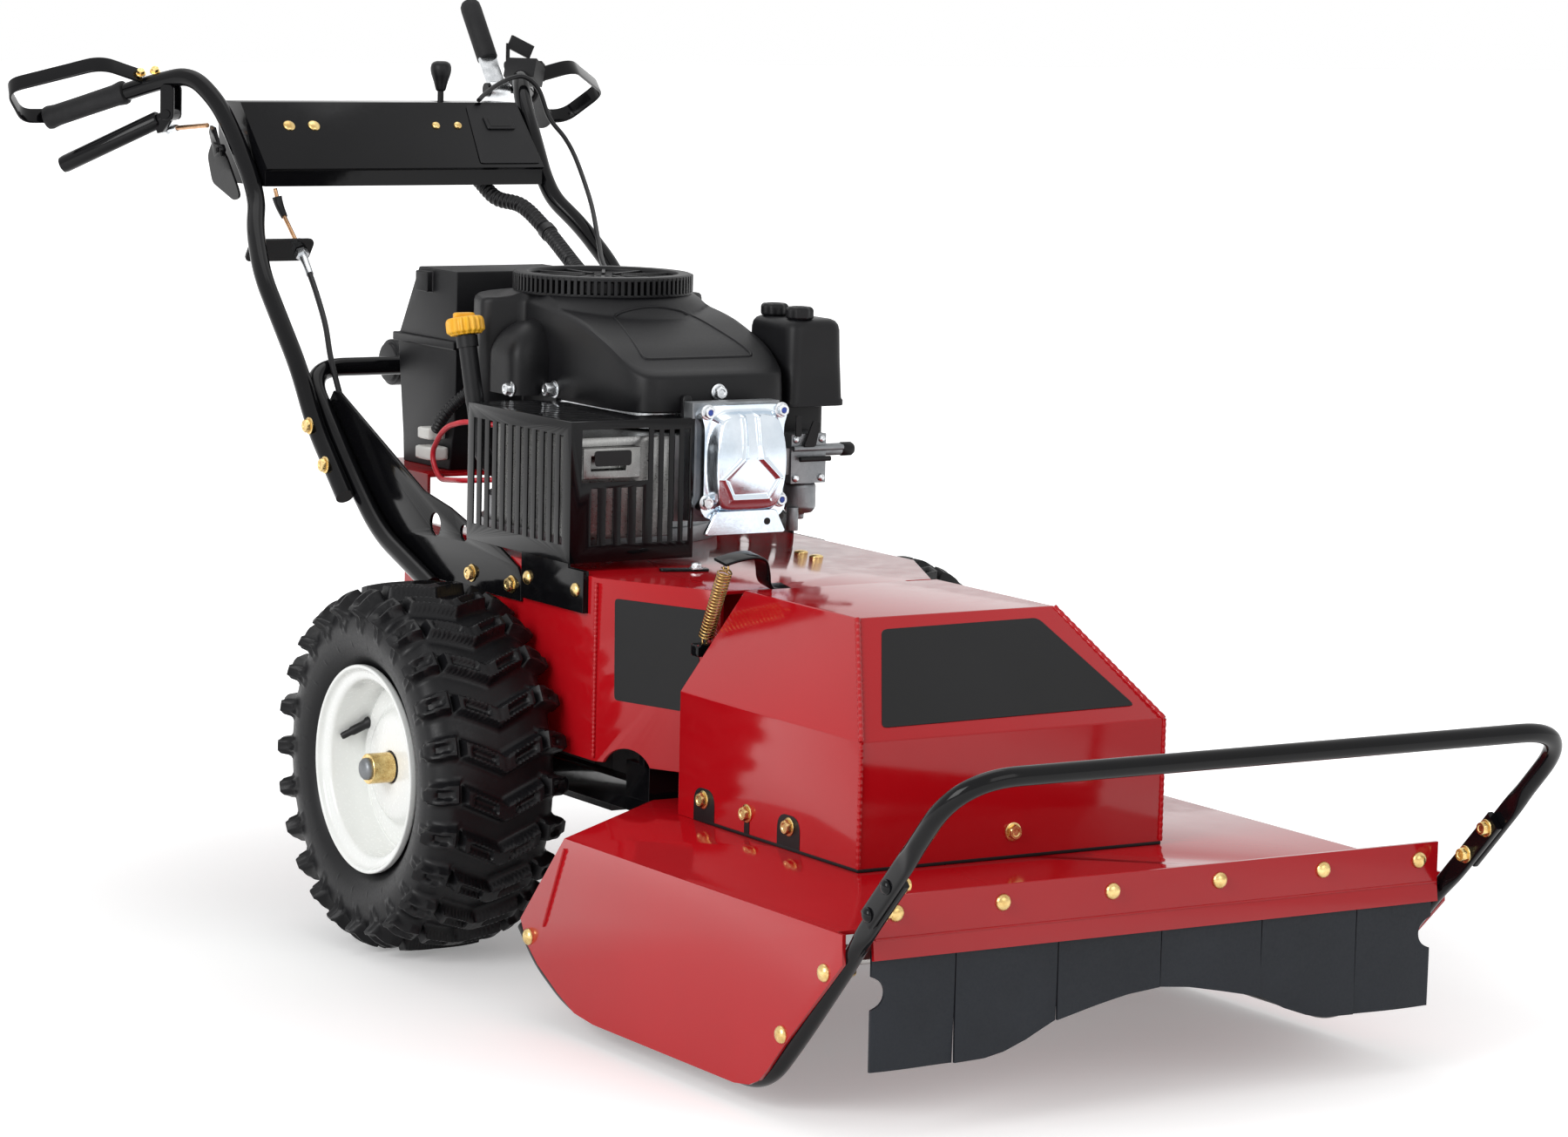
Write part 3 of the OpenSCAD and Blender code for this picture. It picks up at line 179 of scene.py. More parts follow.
def flowing(points, count):
    """Smooth curve through the points: cubic pieces whose slopes come from the neighbours, evenly spaced."""
    p = np.asarray(points, float)
    p = np.concatenate([2 * p[:1] - p[1:2], p, 2 * p[-1:] - p[-2:-1]])
    t = np.linspace(0, 1, 16, endpoint=False)[None, :, None]
    a, b, c, d = p[:-3, None], p[1:-2, None], p[2:-1, None], p[3:, None]
    bend = (2 * a - 5 * b + 4 * c - d) * t ** 2 + (3 * b - a - 3 * c + d) * t ** 3
    curve = 0.5 * (2 * b + (c - a) * t + bend)
    return spaced(np.concatenate([curve.reshape(-1, 3), p[-2:-1]]), count)


def circle(radius, sides=24):
    """Circle of points, or one circle for each radius."""
    a = full_turn(sides)
    r = np.asarray(radius, float)[..., None]
    return np.stack([r * np.cos(a), r * np.sin(a)], axis=-1)


def carried(path, profile, normal=None):
    """Closed profile carried along a path.

    A ring is the path's point plus the profile's two numbers along two directions square to the path,
    and the end rings close on their middle points.
    """
    path = np.asarray(path, float)
    along = unit(np.gradient(path, axis=0))
    if normal is None:
        normal = np.linalg.eigh(along.T @ along)[1][:, 0]
    side = unit(np.cross(along, normal))
    up = np.cross(side, along)
    shape = np.broadcast_to(profile, (len(path),) + np.shape(profile)[-2:])
    return capped_shape(path[:, None] + shape[..., :1] * side[:, None] + shape[..., 1:] * up[:, None])


def side_directions(axis):
    """Two directions square to an axis and to each other."""
    axis = unit(axis)
    first = unit(np.cross(axis, UP if abs(axis[2]) < 0.9 else RIGHT))
    return first, np.cross(axis, first)


def turned(profile, at, axis, sides=40, swell=1.0, closed=False):
    """Profile of radius and height turned round an axis.

    A point is the start plus its height along the axis plus its radius times cos and sin of the turn;
    swell multiplies the radius by profile point and by turn.
    """
    profile = np.asarray(profile, float)
    turn = full_turn(sides)
    first, second = side_directions(axis)
    round_way = np.cos(turn)[:, None] * first + np.sin(turn)[:, None] * second
    radius = profile[:, :1] * np.broadcast_to(swell, (len(profile), sides))
    grid = np.asarray(at) + profile[:, None, 1:] * unit(axis) + radius[..., None] * round_way
    return grid_shape(grid, closed, True)


def rod(at, axis, radius, start, end, sides=20):
    """Round bar: one radius from one height to another along the axis."""
    return turned([(0, start), (radius, start), (radius, end), (0, end)], at, axis, sides)


def sleeve(at, axis, inner, outer, start, end, sides=28):
    """Round bush: a ring between two radii, from one height to another along the axis."""
    ring = [(inner, start), (outer, start), (outer, end), (inner, end)]
    return turned(ring, at, axis, sides, closed=True)


def plate(outline, normal, thick, edge=0.5):
    """Flat plate: the outline on its back face, the same on its front, a little smaller past a soft edge."""
    loop = np.asarray(outline, float)
    middle = loop.mean(axis=0)
    lift = thick * unit(normal)
    inward = unit(middle - loop) * edge
    soft = edge * unit(normal)
    rings = [np.broadcast_to(middle, loop.shape), loop + inward, loop + soft, loop + lift - soft,
             loop + lift + inward, np.broadcast_to(middle + lift, loop.shape)]
    return grid_shape(np.stack(rings), wrap_cols=True)


def rounded_plate(corners, radius, normal, thick, edge=0.5):
    """Flat plate with rounded corners."""
    return plate(rounded_loop(corners, radius), normal, thick, edge)


def soft_box(centre, half, power, rows=20):
    """Rounded box: a ball's directions stretched until their powers add up to one, times the half sizes."""
    a = np.linspace(-np.pi / 2, np.pi / 2, rows)[:, None]
    b = full_turn(2 * rows)[None, :] + np.pi / 4
    ball = np.broadcast_arrays(np.cos(a) * np.cos(b), np.cos(a) * np.sin(b), np.sin(a))
    ball = np.stack(ball, axis=-1)
    ball = ball / (np.abs(ball) ** power).sum(axis=-1, keepdims=True) ** (1 / power) * half
    return grid_shape(ball + centre, wrap_cols=True)


def turn_about(axis, degrees):
    """Turning matrix about X, Y or Z."""
    return np.array(Matrix.Rotation(math.radians(degrees), 3, axis))


def hex_head(at, axis, across, high):
    """Washer and hexagon head: its radius is the half width over the cosine of the angle from a flat."""
    sides = 24
    flat = across / 2
    hexagon = 1 / np.cos((full_turn(sides) + np.pi / 6) % (np.pi / 3) - np.pi / 6)
    washer = [(0, 0), (flat * 1.45, 0), (flat * 1.45, 1.2), (flat * 1.36, 1.6)]
    wall = [(flat, 1.6), (flat, high - 1.2)]
    top = [(flat * 0.97, high), (flat * 0.62, high), (flat * 0.5, high - 0.7), (0, high - 0.7)]
    swell = np.ones((len(washer + wall + top), sides))
    swell[len(washer):len(washer + wall)] = hexagon
    return turned(washer + wall + top, at, axis, sides, swell)


def dome_head(at, axis, across, high):
    """Carriage-bolt head: a quarter ellipse turned round its axis."""
    t = np.linspace(0, np.pi / 2, 8)
    profile = np.stack([across / 2 * np.cos(t), high * (0.12 + 0.88 * np.sin(t))], axis=1)
    return turned(np.concatenate([[(0, 0), (across / 2, 0)], profile]), at, axis, 24)


def heads(kind, places, axis, across, high):
    """Bolt heads of one kind and size at several places."""
    return join(*[kind(at, axis, across, high) for at in places])


def tower(x, y, levels, steps=5):
    """Pile of rounded rectangles: each level gives a height, two half sizes and a corner radius."""
    rings = []
    for z, wide, long, radius in levels:
        loop = oblong(wide, long, radius, steps) + (x, y)
        rings.append(np.column_stack([loop, np.full(len(loop), float(z))]))
    return capped_shape(np.array(rings))


def bead(path, radius, step):
    """Weld bead: a tube whose radius swells and sinks with the distance along it."""
    count = max(8, int(lengths(np.asarray(path, float))[-1] / step * 6))
    line = spaced(path, count)
    wave = 0.78 + 0.22 * np.abs(np.sin(np.pi * lengths(line) / step))
    return carried(line, circle(radius * wave, 10))


def ribbed(line, radius, rise, pitch, sides):
    """Ribbed tube: its radius goes up and down by a steep tanh of a sine of the distance along it."""
    wave = radius + rise * np.tanh(3 * np.sin(lengths(line) * 2 * np.pi / pitch))
    return carried(line, circle(wave, sides))


# finishes

WHITE = (1, 1, 1, 1)


def set_sockets(tree, node, sockets):
    """Links each socket that is given an output, and sets the value of the others."""
    for key, value in sockets.items():
        if isinstance(value, bpy.types.NodeSocket):
            tree.links.new(value, node.inputs[key])
        else:
            node.inputs[key].default_value = value


def add_node(tree, kind, sockets, **settings):
    """New shader node with its settings and sockets."""
    node = tree.nodes.new("ShaderNode" + kind)
    for key, value in settings.items():
        setattr(node, key, value)
    set_sockets(tree, node, sockets)
    return node


def noise(tree, coords, scale, detail):
    """Noise on the piece's own coordinates."""
    sockets = {"Scale": scale, "Detail": detail, "Roughness": 0.55, "Vector": coords}
    return add_node(tree, "TexNoise", sockets).outputs["Fac"]


def spread(tree, value, low, high):
    """The middle of a noise stretched to a range."""
    sockets = {"Value": value, "From Min": 0.3, "From Max": 0.7, "To Min": low, "To Max": high}
    return add_node(tree, "MapRange", sockets).outputs["Result"]


def surface(name, dark, light, rough, metal=0.0, patch=9.0, grain=600.0, depth=0.05, coat=0.0, level=0.5):
    """Material whose colour drifts between two tones in patches, with a rough range and a fine grain."""
    material = bpy.data.materials.new(name)
    material.use_nodes = True
    tree = material.node_tree
    coords = add_node(tree, "TexCoord", {}).outputs["Object"]
    broad = spread(tree, noise(tree, coords, patch, 3.0), 0.0, 1.0)
    fine = noise(tree, coords, grain, 4.0)
    tones = {"A": (*dark, 1), "B": (*light, 1), "Factor": broad}
    tone = add_node(tree, "Mix", tones, data_type="RGBA")
    bump = add_node(tree, "Bump", {"Strength": depth, "Distance": 0.001, "Height": fine})
    set_sockets(tree, tree.nodes["Principled BSDF"], {
        "Base Color": tone.outputs["Result"], "Roughness": spread(tree, fine, *rough),
        "Normal": bump.outputs["Normal"], "Metallic": metal, "Coat Weight": coat, "Coat Roughness": 0.04,
        "Specular IOR Level": level})
    return material


def finish(name, dark, light, rough, slot=None, **detail):
    """A material and the record's slot that it stands for, by default the one of the same name."""
    return surface(name, dark, light, rough, **detail), slot or name


red_paint = finish("red_paint", (0.40, 0.004, 0.008), (0.45, 0.006, 0.011), (0.07, 0.12), patch=3, grain=40,
                   depth=0.002, level=0.34)
black_paint = finish("black_paint", (0.0025, 0.0025, 0.003), (0.005, 0.005, 0.006), (0.09, 0.16), patch=5,
                     grain=120, depth=0.003, level=0.19)
# black for the front and side panels and the meter window, and also for painted shade: the cover's gap, its
# notches, the bracket hole and the muffler outlet
decal_and_shade_black = finish("decal_and_shade_black", (0.0025, 0.0025, 0.003), (0.005, 0.005, 0.006), (0.3, 0.4), "black_paint",
                     patch=6, grain=300, depth=0.02, level=0.25)
tyre_rubber = finish("tyre_rubber", (0.004, 0.004, 0.005), (0.008, 0.008, 0.009), (0.32, 0.46), "tyre",
                     patch=14, grain=420, depth=0.08, level=0.23)
rim_white = finish("rim_white", (0.80, 0.82, 0.80), (0.88, 0.89, 0.87), (0.2, 0.3), patch=5, grain=260,
                   depth=0.02, coat=0.5)
connector_white = finish("connector_white", (0.70, 0.69, 0.66), (0.82, 0.81, 0.78), (0.36, 0.5), "rim_white",
                         patch=50, grain=700, depth=0.08)
black_plastic = finish("black_plastic", (0.004, 0.004, 0.005), (0.008, 0.008, 0.009), (0.36, 0.48), patch=12,
                       grain=1100, depth=0.14, level=0.23)
yellow_plastic = finish("yellow_plastic", (0.80, 0.38, 0.012), (0.90, 0.50, 0.03), (0.34, 0.46), patch=30,
                        grain=900, depth=0.1)
grip_rubber = finish("grip_rubber", (0.005, 0.005, 0.006), (0.011, 0.011, 0.012), (0.55, 0.72), patch=40,
                     grain=900, depth=0.25, level=0.3)
flap_rubber = finish("flap_rubber", (0.008, 0.010, 0.014), (0.015, 0.018, 0.024), (0.46, 0.6), patch=7,
                     grain=350, depth=0.1, level=0.27)
cable_black = finish("cable_black", (0.004, 0.004, 0.005), (0.009, 0.009, 0.010), (0.34, 0.48), patch=60,
                     grain=900, depth=0.12, level=0.3)
lead_red = finish("lead_red", (0.48, 0.008, 0.02), (0.62, 0.02, 0.035), (0.32, 0.46), patch=60, grain=900,
                  depth=0.08)
cast_iron = finish("cast_iron", (0.028, 0.029, 0.031), (0.055, 0.056, 0.058), (0.5, 0.7), metal=0.4, patch=20,
                   grain=480, depth=0.35)
cast_alloy = finish("cast_alloy", (0.17, 0.18, 0.19), (0.30, 0.31, 0.32), (0.34, 0.5), "alloy", metal=0.9,
                    patch=26, grain=520, depth=0.25)
steel = finish("steel", (0.34, 0.34, 0.33), (0.55, 0.54, 0.52), (0.26, 0.42), metal=1.0, patch=18, grain=420,
               depth=0.08)
muffler_steel = finish("muffler_steel", (0.16, 0.16, 0.16), (0.30, 0.30, 0.29), (0.24, 0.38), "steel",
                       metal=1.0, patch=18, grain=420, depth=0.08)
bright_cover = finish("bright_cover", (0.62, 0.70, 0.78), (0.80, 0.86, 0.92), (0.14, 0.22), metal=1.0,
                      patch=22, grain=300, depth=0.02)
zinc = finish("zinc", (0.55, 0.36, 0.13), (0.86, 0.66, 0.30), (0.2, 0.36), metal=1.0, patch=130, grain=700,
              depth=0.06)
plain_zinc = finish("plain_zinc", (0.56, 0.58, 0.60), (0.80, 0.82, 0.84), (0.22, 0.38), "zinc", metal=1.0,
                    patch=110, grain=700, depth=0.06)
blue_lock = finish("blue_lock", (0.02, 0.05, 0.30), (0.04, 0.09, 0.42), (0.3, 0.45), "zinc", metal=0.3,
                   patch=200, grain=700, depth=0.06)
spring_wire = finish("spring_wire", (0.30, 0.18, 0.06), (0.58, 0.38, 0.15), (0.16, 0.26), metal=1.0, patch=90,
                     grain=800, depth=0.06)
copper = finish("copper", (0.46, 0.25, 0.13), (0.68, 0.42, 0.24), (0.22, 0.36), metal=1.0, patch=80,
                grain=800, depth=0.06)


# pieces in the scene

def put(mesh, look, body, node):
    """An object at the origin with its finish, and the body and CAD node it has, if any."""
    material, own_slot = look
    mesh.materials.append(material)
    mesh.shade_smooth()
    obj = bpy.data.objects.new(mesh.name, mesh)
    bpy.context.scene.collection.objects.link(obj)
    if body:
        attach(obj, body)
    if node:
        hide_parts(node)
    return obj


def make(name, shape, look, body="frame", node=None, sharp=40, fill=False):
    """Puts a shape into a mesh in metres, with doubled points merged and faces turned outwards."""
    points, faces = shape
    mesh = bpy.data.meshes.new(name)
    mesh.from_pydata(((points - SHIFT) / MM).tolist(), [], faces.tolist())
    work = bmesh.new()
    work.from_mesh(mesh)
    bmesh.ops.remove_doubles(work, verts=work.verts, dist=2e-6)
    if fill:
        bmesh.ops.holes_fill(work, edges=[e for e in work.edges if e.is_boundary])
    bmesh.ops.recalc_face_normals(work, faces=work.faces)
    work.to_mesh(mesh)
    work.free()
    obj = put(mesh, look, body, node)
    mesh.set_sharp_from_angle(angle=math.radians(sharp))
    return obj


def dress(node, look, bevel, body="frame", limit=32):
    """Merged copy of a CAD node's own surface with flat faces joined, soft edges and a finish."""
    work = bmesh.new()
    work.from_mesh(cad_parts[node].data)
    bmesh.ops.remove_doubles(work, verts=work.verts, dist=1e-5)
    bmesh.ops.dissolve_limit(work, angle_limit=math.radians(0.8), verts=work.verts, edges=work.edges)
    mesh = bpy.data.meshes.new("dressed_" + node)
    work.to_mesh(mesh)
    work.free()
    edge = put(mesh, look, body, node).modifiers.new("soft_edges", "BEVEL")
    edge.width = bevel / MM
    edge.segments = 3
    edge.limit_method = "ANGLE"
    edge.angle_limit = math.radians(limit)
    edge.harden_normals = True


# camera, light and floor

CAMERA_AT = (-2.7999, -4.65855, 1.1436)
YAW, PITCH, ROLL = math.radians(31.79), math.radians(7.505), math.radians(1.355)
IMAGE_W, IMAGE_H = 1800.0, 1305.0
FOCAL_PX = 5602.8
MIDDLE_PX = (890.9, 655.1)
SENSOR_MM = 36.0
WORLD_LIGHT = 0.54
FLOOR_HALF = 30.0
LAMPS = [("key_lamp", (-4.4, -1.6, 2.4), (0, -0.1, 0.35), 2.6, 135),
         ("fill_lamp", (0.6, -4.8, 2.4), (0, -0.2, 0.3), 2.4, 30),
         ("top_lamp", (0.2, 1.4, 4.2), (0, 0.1, 0.3), 2.6, 22)]


def stand(name, data, right, up, back, at):
    """A camera or lamp at a point, with its own three directions."""
    obj = bpy.data.objects.new(name, data)
    pose = np.eye(4)
    pose[:3] = np.column_stack([right, up, back, at])
    obj.matrix_world = Matrix(pose.tolist())
    bpy.context.scene.collection.objects.link(obj)
    return obj


def add_camera():
    """Camera along its yaw and pitch, turned by its roll, with the lens of its focal length in pixels."""
    look = np.array([math.sin(YAW) * math.cos(PITCH), math.cos(YAW) * math.cos(PITCH), -math.sin(PITCH)])
    level = np.array([math.cos(YAW), -math.sin(YAW), 0.0])
    above = np.cross(level, look)
    right = level * math.cos(ROLL) + above * math.sin(ROLL)
    up = above * math.cos(ROLL) - level * math.sin(ROLL)
    data = bpy.data.cameras.new("camera")
    data.sensor_width = SENSOR_MM
    data.lens = SENSOR_MM * FOCAL_PX / IMAGE_W
    data.shift_x = (IMAGE_W / 2 - MIDDLE_PX[0]) / IMAGE_W
    data.shift_y = (MIDDLE_PX[1] - IMAGE_H / 2) / IMAGE_W
    data.clip_end = 100
    bpy.context.scene.camera = stand("camera", data, right, up, -look, CAMERA_AT)


def add_lamps():
    """Square soft lamps, each with its place, the point it is turned to, its size and its power."""
    for name, at, aim, size, power in LAMPS:
        data = bpy.data.lights.new(name, "AREA")
        data.size = size
        data.energy = power
        back = unit(np.subtract(at, aim))
        stand(name, data, *side_directions(back), back, at)


def seen_directly(tree):
    """One for rays from the camera, from gloss and through glass, nought for the rest."""
    rays = add_node(tree, "LightPath", {}).outputs
    pair = {0: rays["Is Camera Ray"], 1: rays["Is Glossy Ray"]}
    first = add_node(tree, "Math", pair, operation="MAXIMUM").outputs[0]
    return add_node(tree, "Math", {0: first, 1: rays["Is Transmission Ray"]}, operation="MAXIMUM").outputs[0]


def add_world():
    """White surroundings: a dim white lights the object, and full white is what is seen."""
    world = bpy.data.worlds.new("studio")
    bpy.context.scene.world = world
    world.use_nodes = True
    tree = world.node_tree
    dim = tree.nodes["Background"]
    set_sockets(tree, dim, {"Color": WHITE, "Strength": WORLD_LIGHT})
    full = add_node(tree, "Background", {"Color": WHITE, "Strength": 1.0})
    blend = add_node(tree, "MixShader", {"Fac": seen_directly(tree), 1: dim.outputs[0], 2: full.outputs[0]})
    set_sockets(tree, tree.nodes["World Output"], {"Surface": blend.outputs[0]})


def pale_floor():
    """White floor that catches the shadow, with its own light where it is seen, more with distance: the
    weaker glow near the machine paints a darker floor round it, as painted shade.
    """
    material = surface("pale_floor", (0.80, 0.80, 0.80), (0.84, 0.84, 0.84), (0.7, 0.8), patch=1.5, grain=40,
                       depth=0.0, level=0.1)
    tree = material.node_tree
    place = add_node(tree, "TexCoord", {}).outputs["Object"]
    away = add_node(tree, "VectorMath", {0: place}, operation="LENGTH").outputs["Value"]
    # glow from 0.26 near the machine to 0.9 further out: painted shade round the machine
    ramp = {"Value": away, "From Min": 0.5, "From Max": 1.7, "To Min": 0.26, "To Max": 0.9}
    rise = add_node(tree, "MapRange", ramp, interpolation_type="SMOOTHSTEP").outputs["Result"]
    glow = add_node(tree, "Math", {0: rise, 1: seen_directly(tree)}, operation="MULTIPLY").outputs[0]
    shader = tree.nodes["Principled BSDF"]
    set_sockets(tree, shader, {"Emission Color": WHITE, "Emission Strength": glow})
    return material


def add_floor():
    """One wide square at the ground."""
    mesh = bpy.data.meshes.new("floor")
    corners = [(x * FLOOR_HALF, y * FLOOR_HALF, 0) for x, y in ((-1, -1), (1, -1), (1, 1), (-1, 1))]
    mesh.from_pydata(corners, [], [(0, 1, 2, 3)])
    mesh.materials.append(pale_floor())
    floor = bpy.data.objects.new("floor", mesh)
    bpy.context.scene.collection.objects.link(floor)


add_camera()
add_world()
add_lamps()
add_floor()

# wheels

LUGS = 24
TREAD_R = 202
LUG_PITCH = 2 * math.pi * TREAD_R / LUGS
TYRE_SIDES = 600
CROWN_REACH = 46
FOOT_RISE = 2.4
BLOCK_RISE = 12.6
WALL_RISE = 6.0
TICK_RISE = 0.5
CARCASS = [(103, 57), (117, 61), (131, 74), (153, 79), (175, 74), (186, 61), (190.5, 34), (191, 0)]
TYRE_BACK = np.array([(108, -48), (150, -64), (184, -40), (184, 40), (150, 64), (108, 48)])


def tread_height(turn, across):
    """Rubber above the carcass.

    A bar is one where the distance from its middle line, along the pitch and across, is inside its sizes,
    with sloped walls; blocks are bars on wider feet, less the bars of their pockets.
    """
    reach = np.abs(across)
    beat = turn * LUGS / (2 * np.pi)

    def bar(middle, thick, start, end, slope=2.6):
        """Half less the distance outside the bar over the slope of its walls, from nought to one."""
        gap = (beat - middle + 0.5) % 1 - 0.5
        along = np.abs(gap) * LUG_PITCH - thick / 2
        over = np.abs(reach - (start + end) / 2) - (end - start) / 2
        return np.clip(0.5 - np.maximum(along, over) / slope, 0, 1)

    arm = 0.40 * (1 - np.minimum(reach, CROWN_REACH) / CROWN_REACH)
    lean = 0.93 + 0.0022 * (reach - 50)
    feet = np.maximum(bar(arm, 27, -1, 49, 5), bar(lean, 30, 49, 84, 5))
    crown = bar(arm, 20, -1, CROWN_REACH) - 0.5 * bar(arm, 8, 11, 37)
    shoulder = bar(lean, 23, 52, 81) - 0.55 * bar(lean, 10, 58, 73)
    wall = bar(lean, 15, 78, 100) - 0.55 * bar(lean, 6, 83, 95)
    ticks = bar(0.4, 1.6, 112, 118, 1.0) + bar(0.4, 5, 104, 105.5, 1.0)
    fade = np.clip((104 - reach) / 26, 0, 1)
    blocks = np.maximum(crown, 0.9 * shoulder)
    return FOOT_RISE * feet + BLOCK_RISE * blocks + WALL_RISE * wall * fade + TICK_RISE * ticks


def tyre_shape(x):
    """Carcass profile turned round the axle, with the tread's height added along the profile's own normal."""
    half = rounded(CARCASS, 14, 6)
    outer = spaced(np.concatenate([half, (half * [1, -1])[::-1][1:]]), 146)
    across = lengths(outer) - lengths(outer)[-1] / 2
    slope = unit(np.gradient(outer, axis=0))
    normal = np.stack([-slope[:, 1], slope[:, 0]], axis=1)
    turn = full_turn(TYRE_SIDES)[:, None]
    high = tread_height(turn, across[None, :])
    back = np.broadcast_to(TYRE_BACK, (TYRE_SIDES,) + TYRE_BACK.shape)
    skin = np.concatenate([outer[None] + high[..., None] * normal[None], back], axis=1)
    y = AXLE_Y + skin[..., 0] * np.cos(turn)
    z = WHEEL_R + skin[..., 0] * np.sin(turn)
    return grid_shape(np.stack([x + skin[..., 1], y, z], axis=-1), True, True)


RIM = [(101.6, -61), (101.6, 61), (113, 62), (116.5, 65), (116.5, 73), (113.5, 73), (110.5, 66), (98.6, 64),
       (98.6, -10), (90, -17), (64, -20), (56, -30), (18, -33), (18, -38), (58, -35), (67, -25), (92, -23),
       (98.6, -16), (98.6, -64), (110.5, -66), (112.5, -73), (116.5, -73), (116.5, -65), (113, -62)]
AXLE = [(0, -74), (6, -73.6), (10, -72), (12.2, -69.5), (12.5, -67), (12.5, 296), (0, 296)]
SPACER = [(12.6, -66), (16.4, -66), (17, -65.4), (17, -39.2), (12.6, -39.2)]
STEM = [(0, -6), (7, -6), (7, -3), (5.6, 0), (5.2, 3), (5.2, 17), (4.0, 20), (4.0, 29), (3.2, 31), (0, 31)]

for tag, side in (("l", -1.0), ("r", 1.0)):
    hub = np.array([side * WHEEL_X, AXLE_Y, WHEEL_R])
    inward = (-side, 0, 0)
    dish = turned(rounded_loop(RIM, 5, 4), hub, inward, 96, closed=True)
    stem = turned(STEM, hub + (side * 26, 84, 35), (side * 0.86, 0.2, -0.42), 18)
    wheel = "wheel_" + tag
    make("tread_" + tag, tyre_shape(side * WHEEL_X), tyre_rubber, wheel, "tyre_" + tag, sharp=50)
    make("dish_" + tag, dish, rim_white, wheel, "rim_" + tag, sharp=50)
    make("axle_end_" + tag, turned(AXLE, hub, inward, 36), cast_alloy, wheel, "axle_" + tag)
    make("axle_spacer_" + tag, turned(SPACER, hub, inward, 40, closed=True), zinc, wheel)
    make("valve_stem_" + tag, stem, cable_black, wheel)

# handle tubes, grips and guards

HOOP_X = 220.4
HOOP_RUN = [(540, 388), (672, 434), (735, 484), (872, 609)]
HOOP = [(-HOOP_X, y, z) for y, z in HOOP_RUN] + [(HOOP_X, y, z) for y, z in HOOP_RUN[::-1]]
TUBE = [(-242.9, 720, 472), (-242.9, 800, 546), (-242.9, 846, 612), (-242.9, 948, 715), (-227, 1002, 764),
        (-207, 1040, 797), (-204, 1062, 824), (-209, 1103, 876), (-214, 1138, 914), (-232, 1178, 947),
        (-258, 1224, 935), (-284, 1255, 922)]
GRIP_A = np.array([-284.0, 1255, 922])
GRIP_B = np.array([-354.0, 1340, 885])
GRIP_GAP = 0.4
GRIP = [(0, 0), (11.5, 0), (14.6, 1.5), (15.2, 5), (14.4, 10), (13.6, 16), (13.4, 60), (13.6, 100),
        (14.4, 107), (15, 111), (14.2, 115), (11, 116.6), (0, 116.6)]
GUARD = [(-274, 1234, 942), (-333, 1222, 959), (-424, 1306, 926), (-388, 1340, 888), (-356, 1342, 888)]
GUARD_BOLTS = [(-276, 1231, 945), (-260, 1224, 948)]
LEVER_A = np.array([-246.0, 1206, 897])
LEVER_B = np.array([-340.0, 1325, 827])
LEVER_TURN = turn_about("Z", 39.4)
LEVER_SIDE = LEVER_TURN @ RIGHT
LEVER_PIN = [(0, -14), (5, -14), (5.5, -12.6), (4, -12.5), (4, 12.5), (5.5, 12.6), (5, 14), (0, 14)]
BLADE_POST = [(0, 0), (9, 0), (9, 3.5), (5, 3.5), (5, 60), (0, 60)]
CRANK_PLATE_X = -221
CRANK_PLATE = [(1060, 802), (1066, 812), (1100, 850), (1135, 872), (1153, 848), (1138, 815), (1075, 796)]
CABLE_PLATE_AT = np.array([-236.0, 1013, 726])
CABLE_PLATE = np.array([(0, 0, 0), (86, 0, 0), (86, 0, 34), (0, 0, 34)])


def handle_plates():
    """Cable plate, crank plate and lever ears, each an outline with a thickness, and the pins on them."""
    tip = turn_about("X", 38)
    crank_plate = [(CRANK_PLATE_X, y, z) for y, z in CRANK_PLATE]
    parts = [rounded_plate(CABLE_PLATE_AT + CABLE_PLATE @ tip.T, 9, tip @ (0, 1, 0), 4),
             rounded_plate(crank_plate, 8, RIGHT, 3), rod((-230, 1106, 857), RIGHT, 3, 0, 11)]
    for x in (-12.5, 8.5):
        ear = np.array([(x, -9, -8), (x, 9, -8), (x, 9, 36), (x, -9, 36)])
        parts.append(rounded_plate(LEVER_A + ear @ LEVER_TURN.T, 7, LEVER_SIDE, 4))
    pin = turned(LEVER_PIN, LEVER_A, LEVER_SIDE, 20)
    return join(*parts, pin, turned(BLADE_POST, (220, 1250, 926), RIGHT, 24))


handle_tubes = mirrored(carried(rounded(TUBE, 30, 10), circle(BAR_R, 28)))
grip = turned(GRIP, GRIP_A + GRIP_GAP * unit(GRIP_B - GRIP_A), GRIP_B - GRIP_A, 36)
guard_path = rounded(GUARD, 20, 8)
guard_normal = unit(np.cross(guard_path[1] - guard_path[0], guard_path[-2] - guard_path[1]))
guard_strip = carried(guard_path, oblong(1.6, 10, 1.4), guard_normal)
make("lower_hoop_tube", carried(rounded(HOOP, 50, 14), circle(BAR_R, 28)), black_paint, node="lower_hoop")
make("handle_tube_pair", join(handle_tubes, handle_plates()), black_paint, node="handle_tubes")
make("hand_grips", mirrored(grip), grip_rubber, node="grips")
make("guard_strips", mirrored(guard_strip), black_paint, node="hand_guards")
make("guard_bolts", mirrored(heads(hex_head, GUARD_BOLTS, (-0.2, -0.55, 0.8), 9, 6)), zinc)

# levers and rods

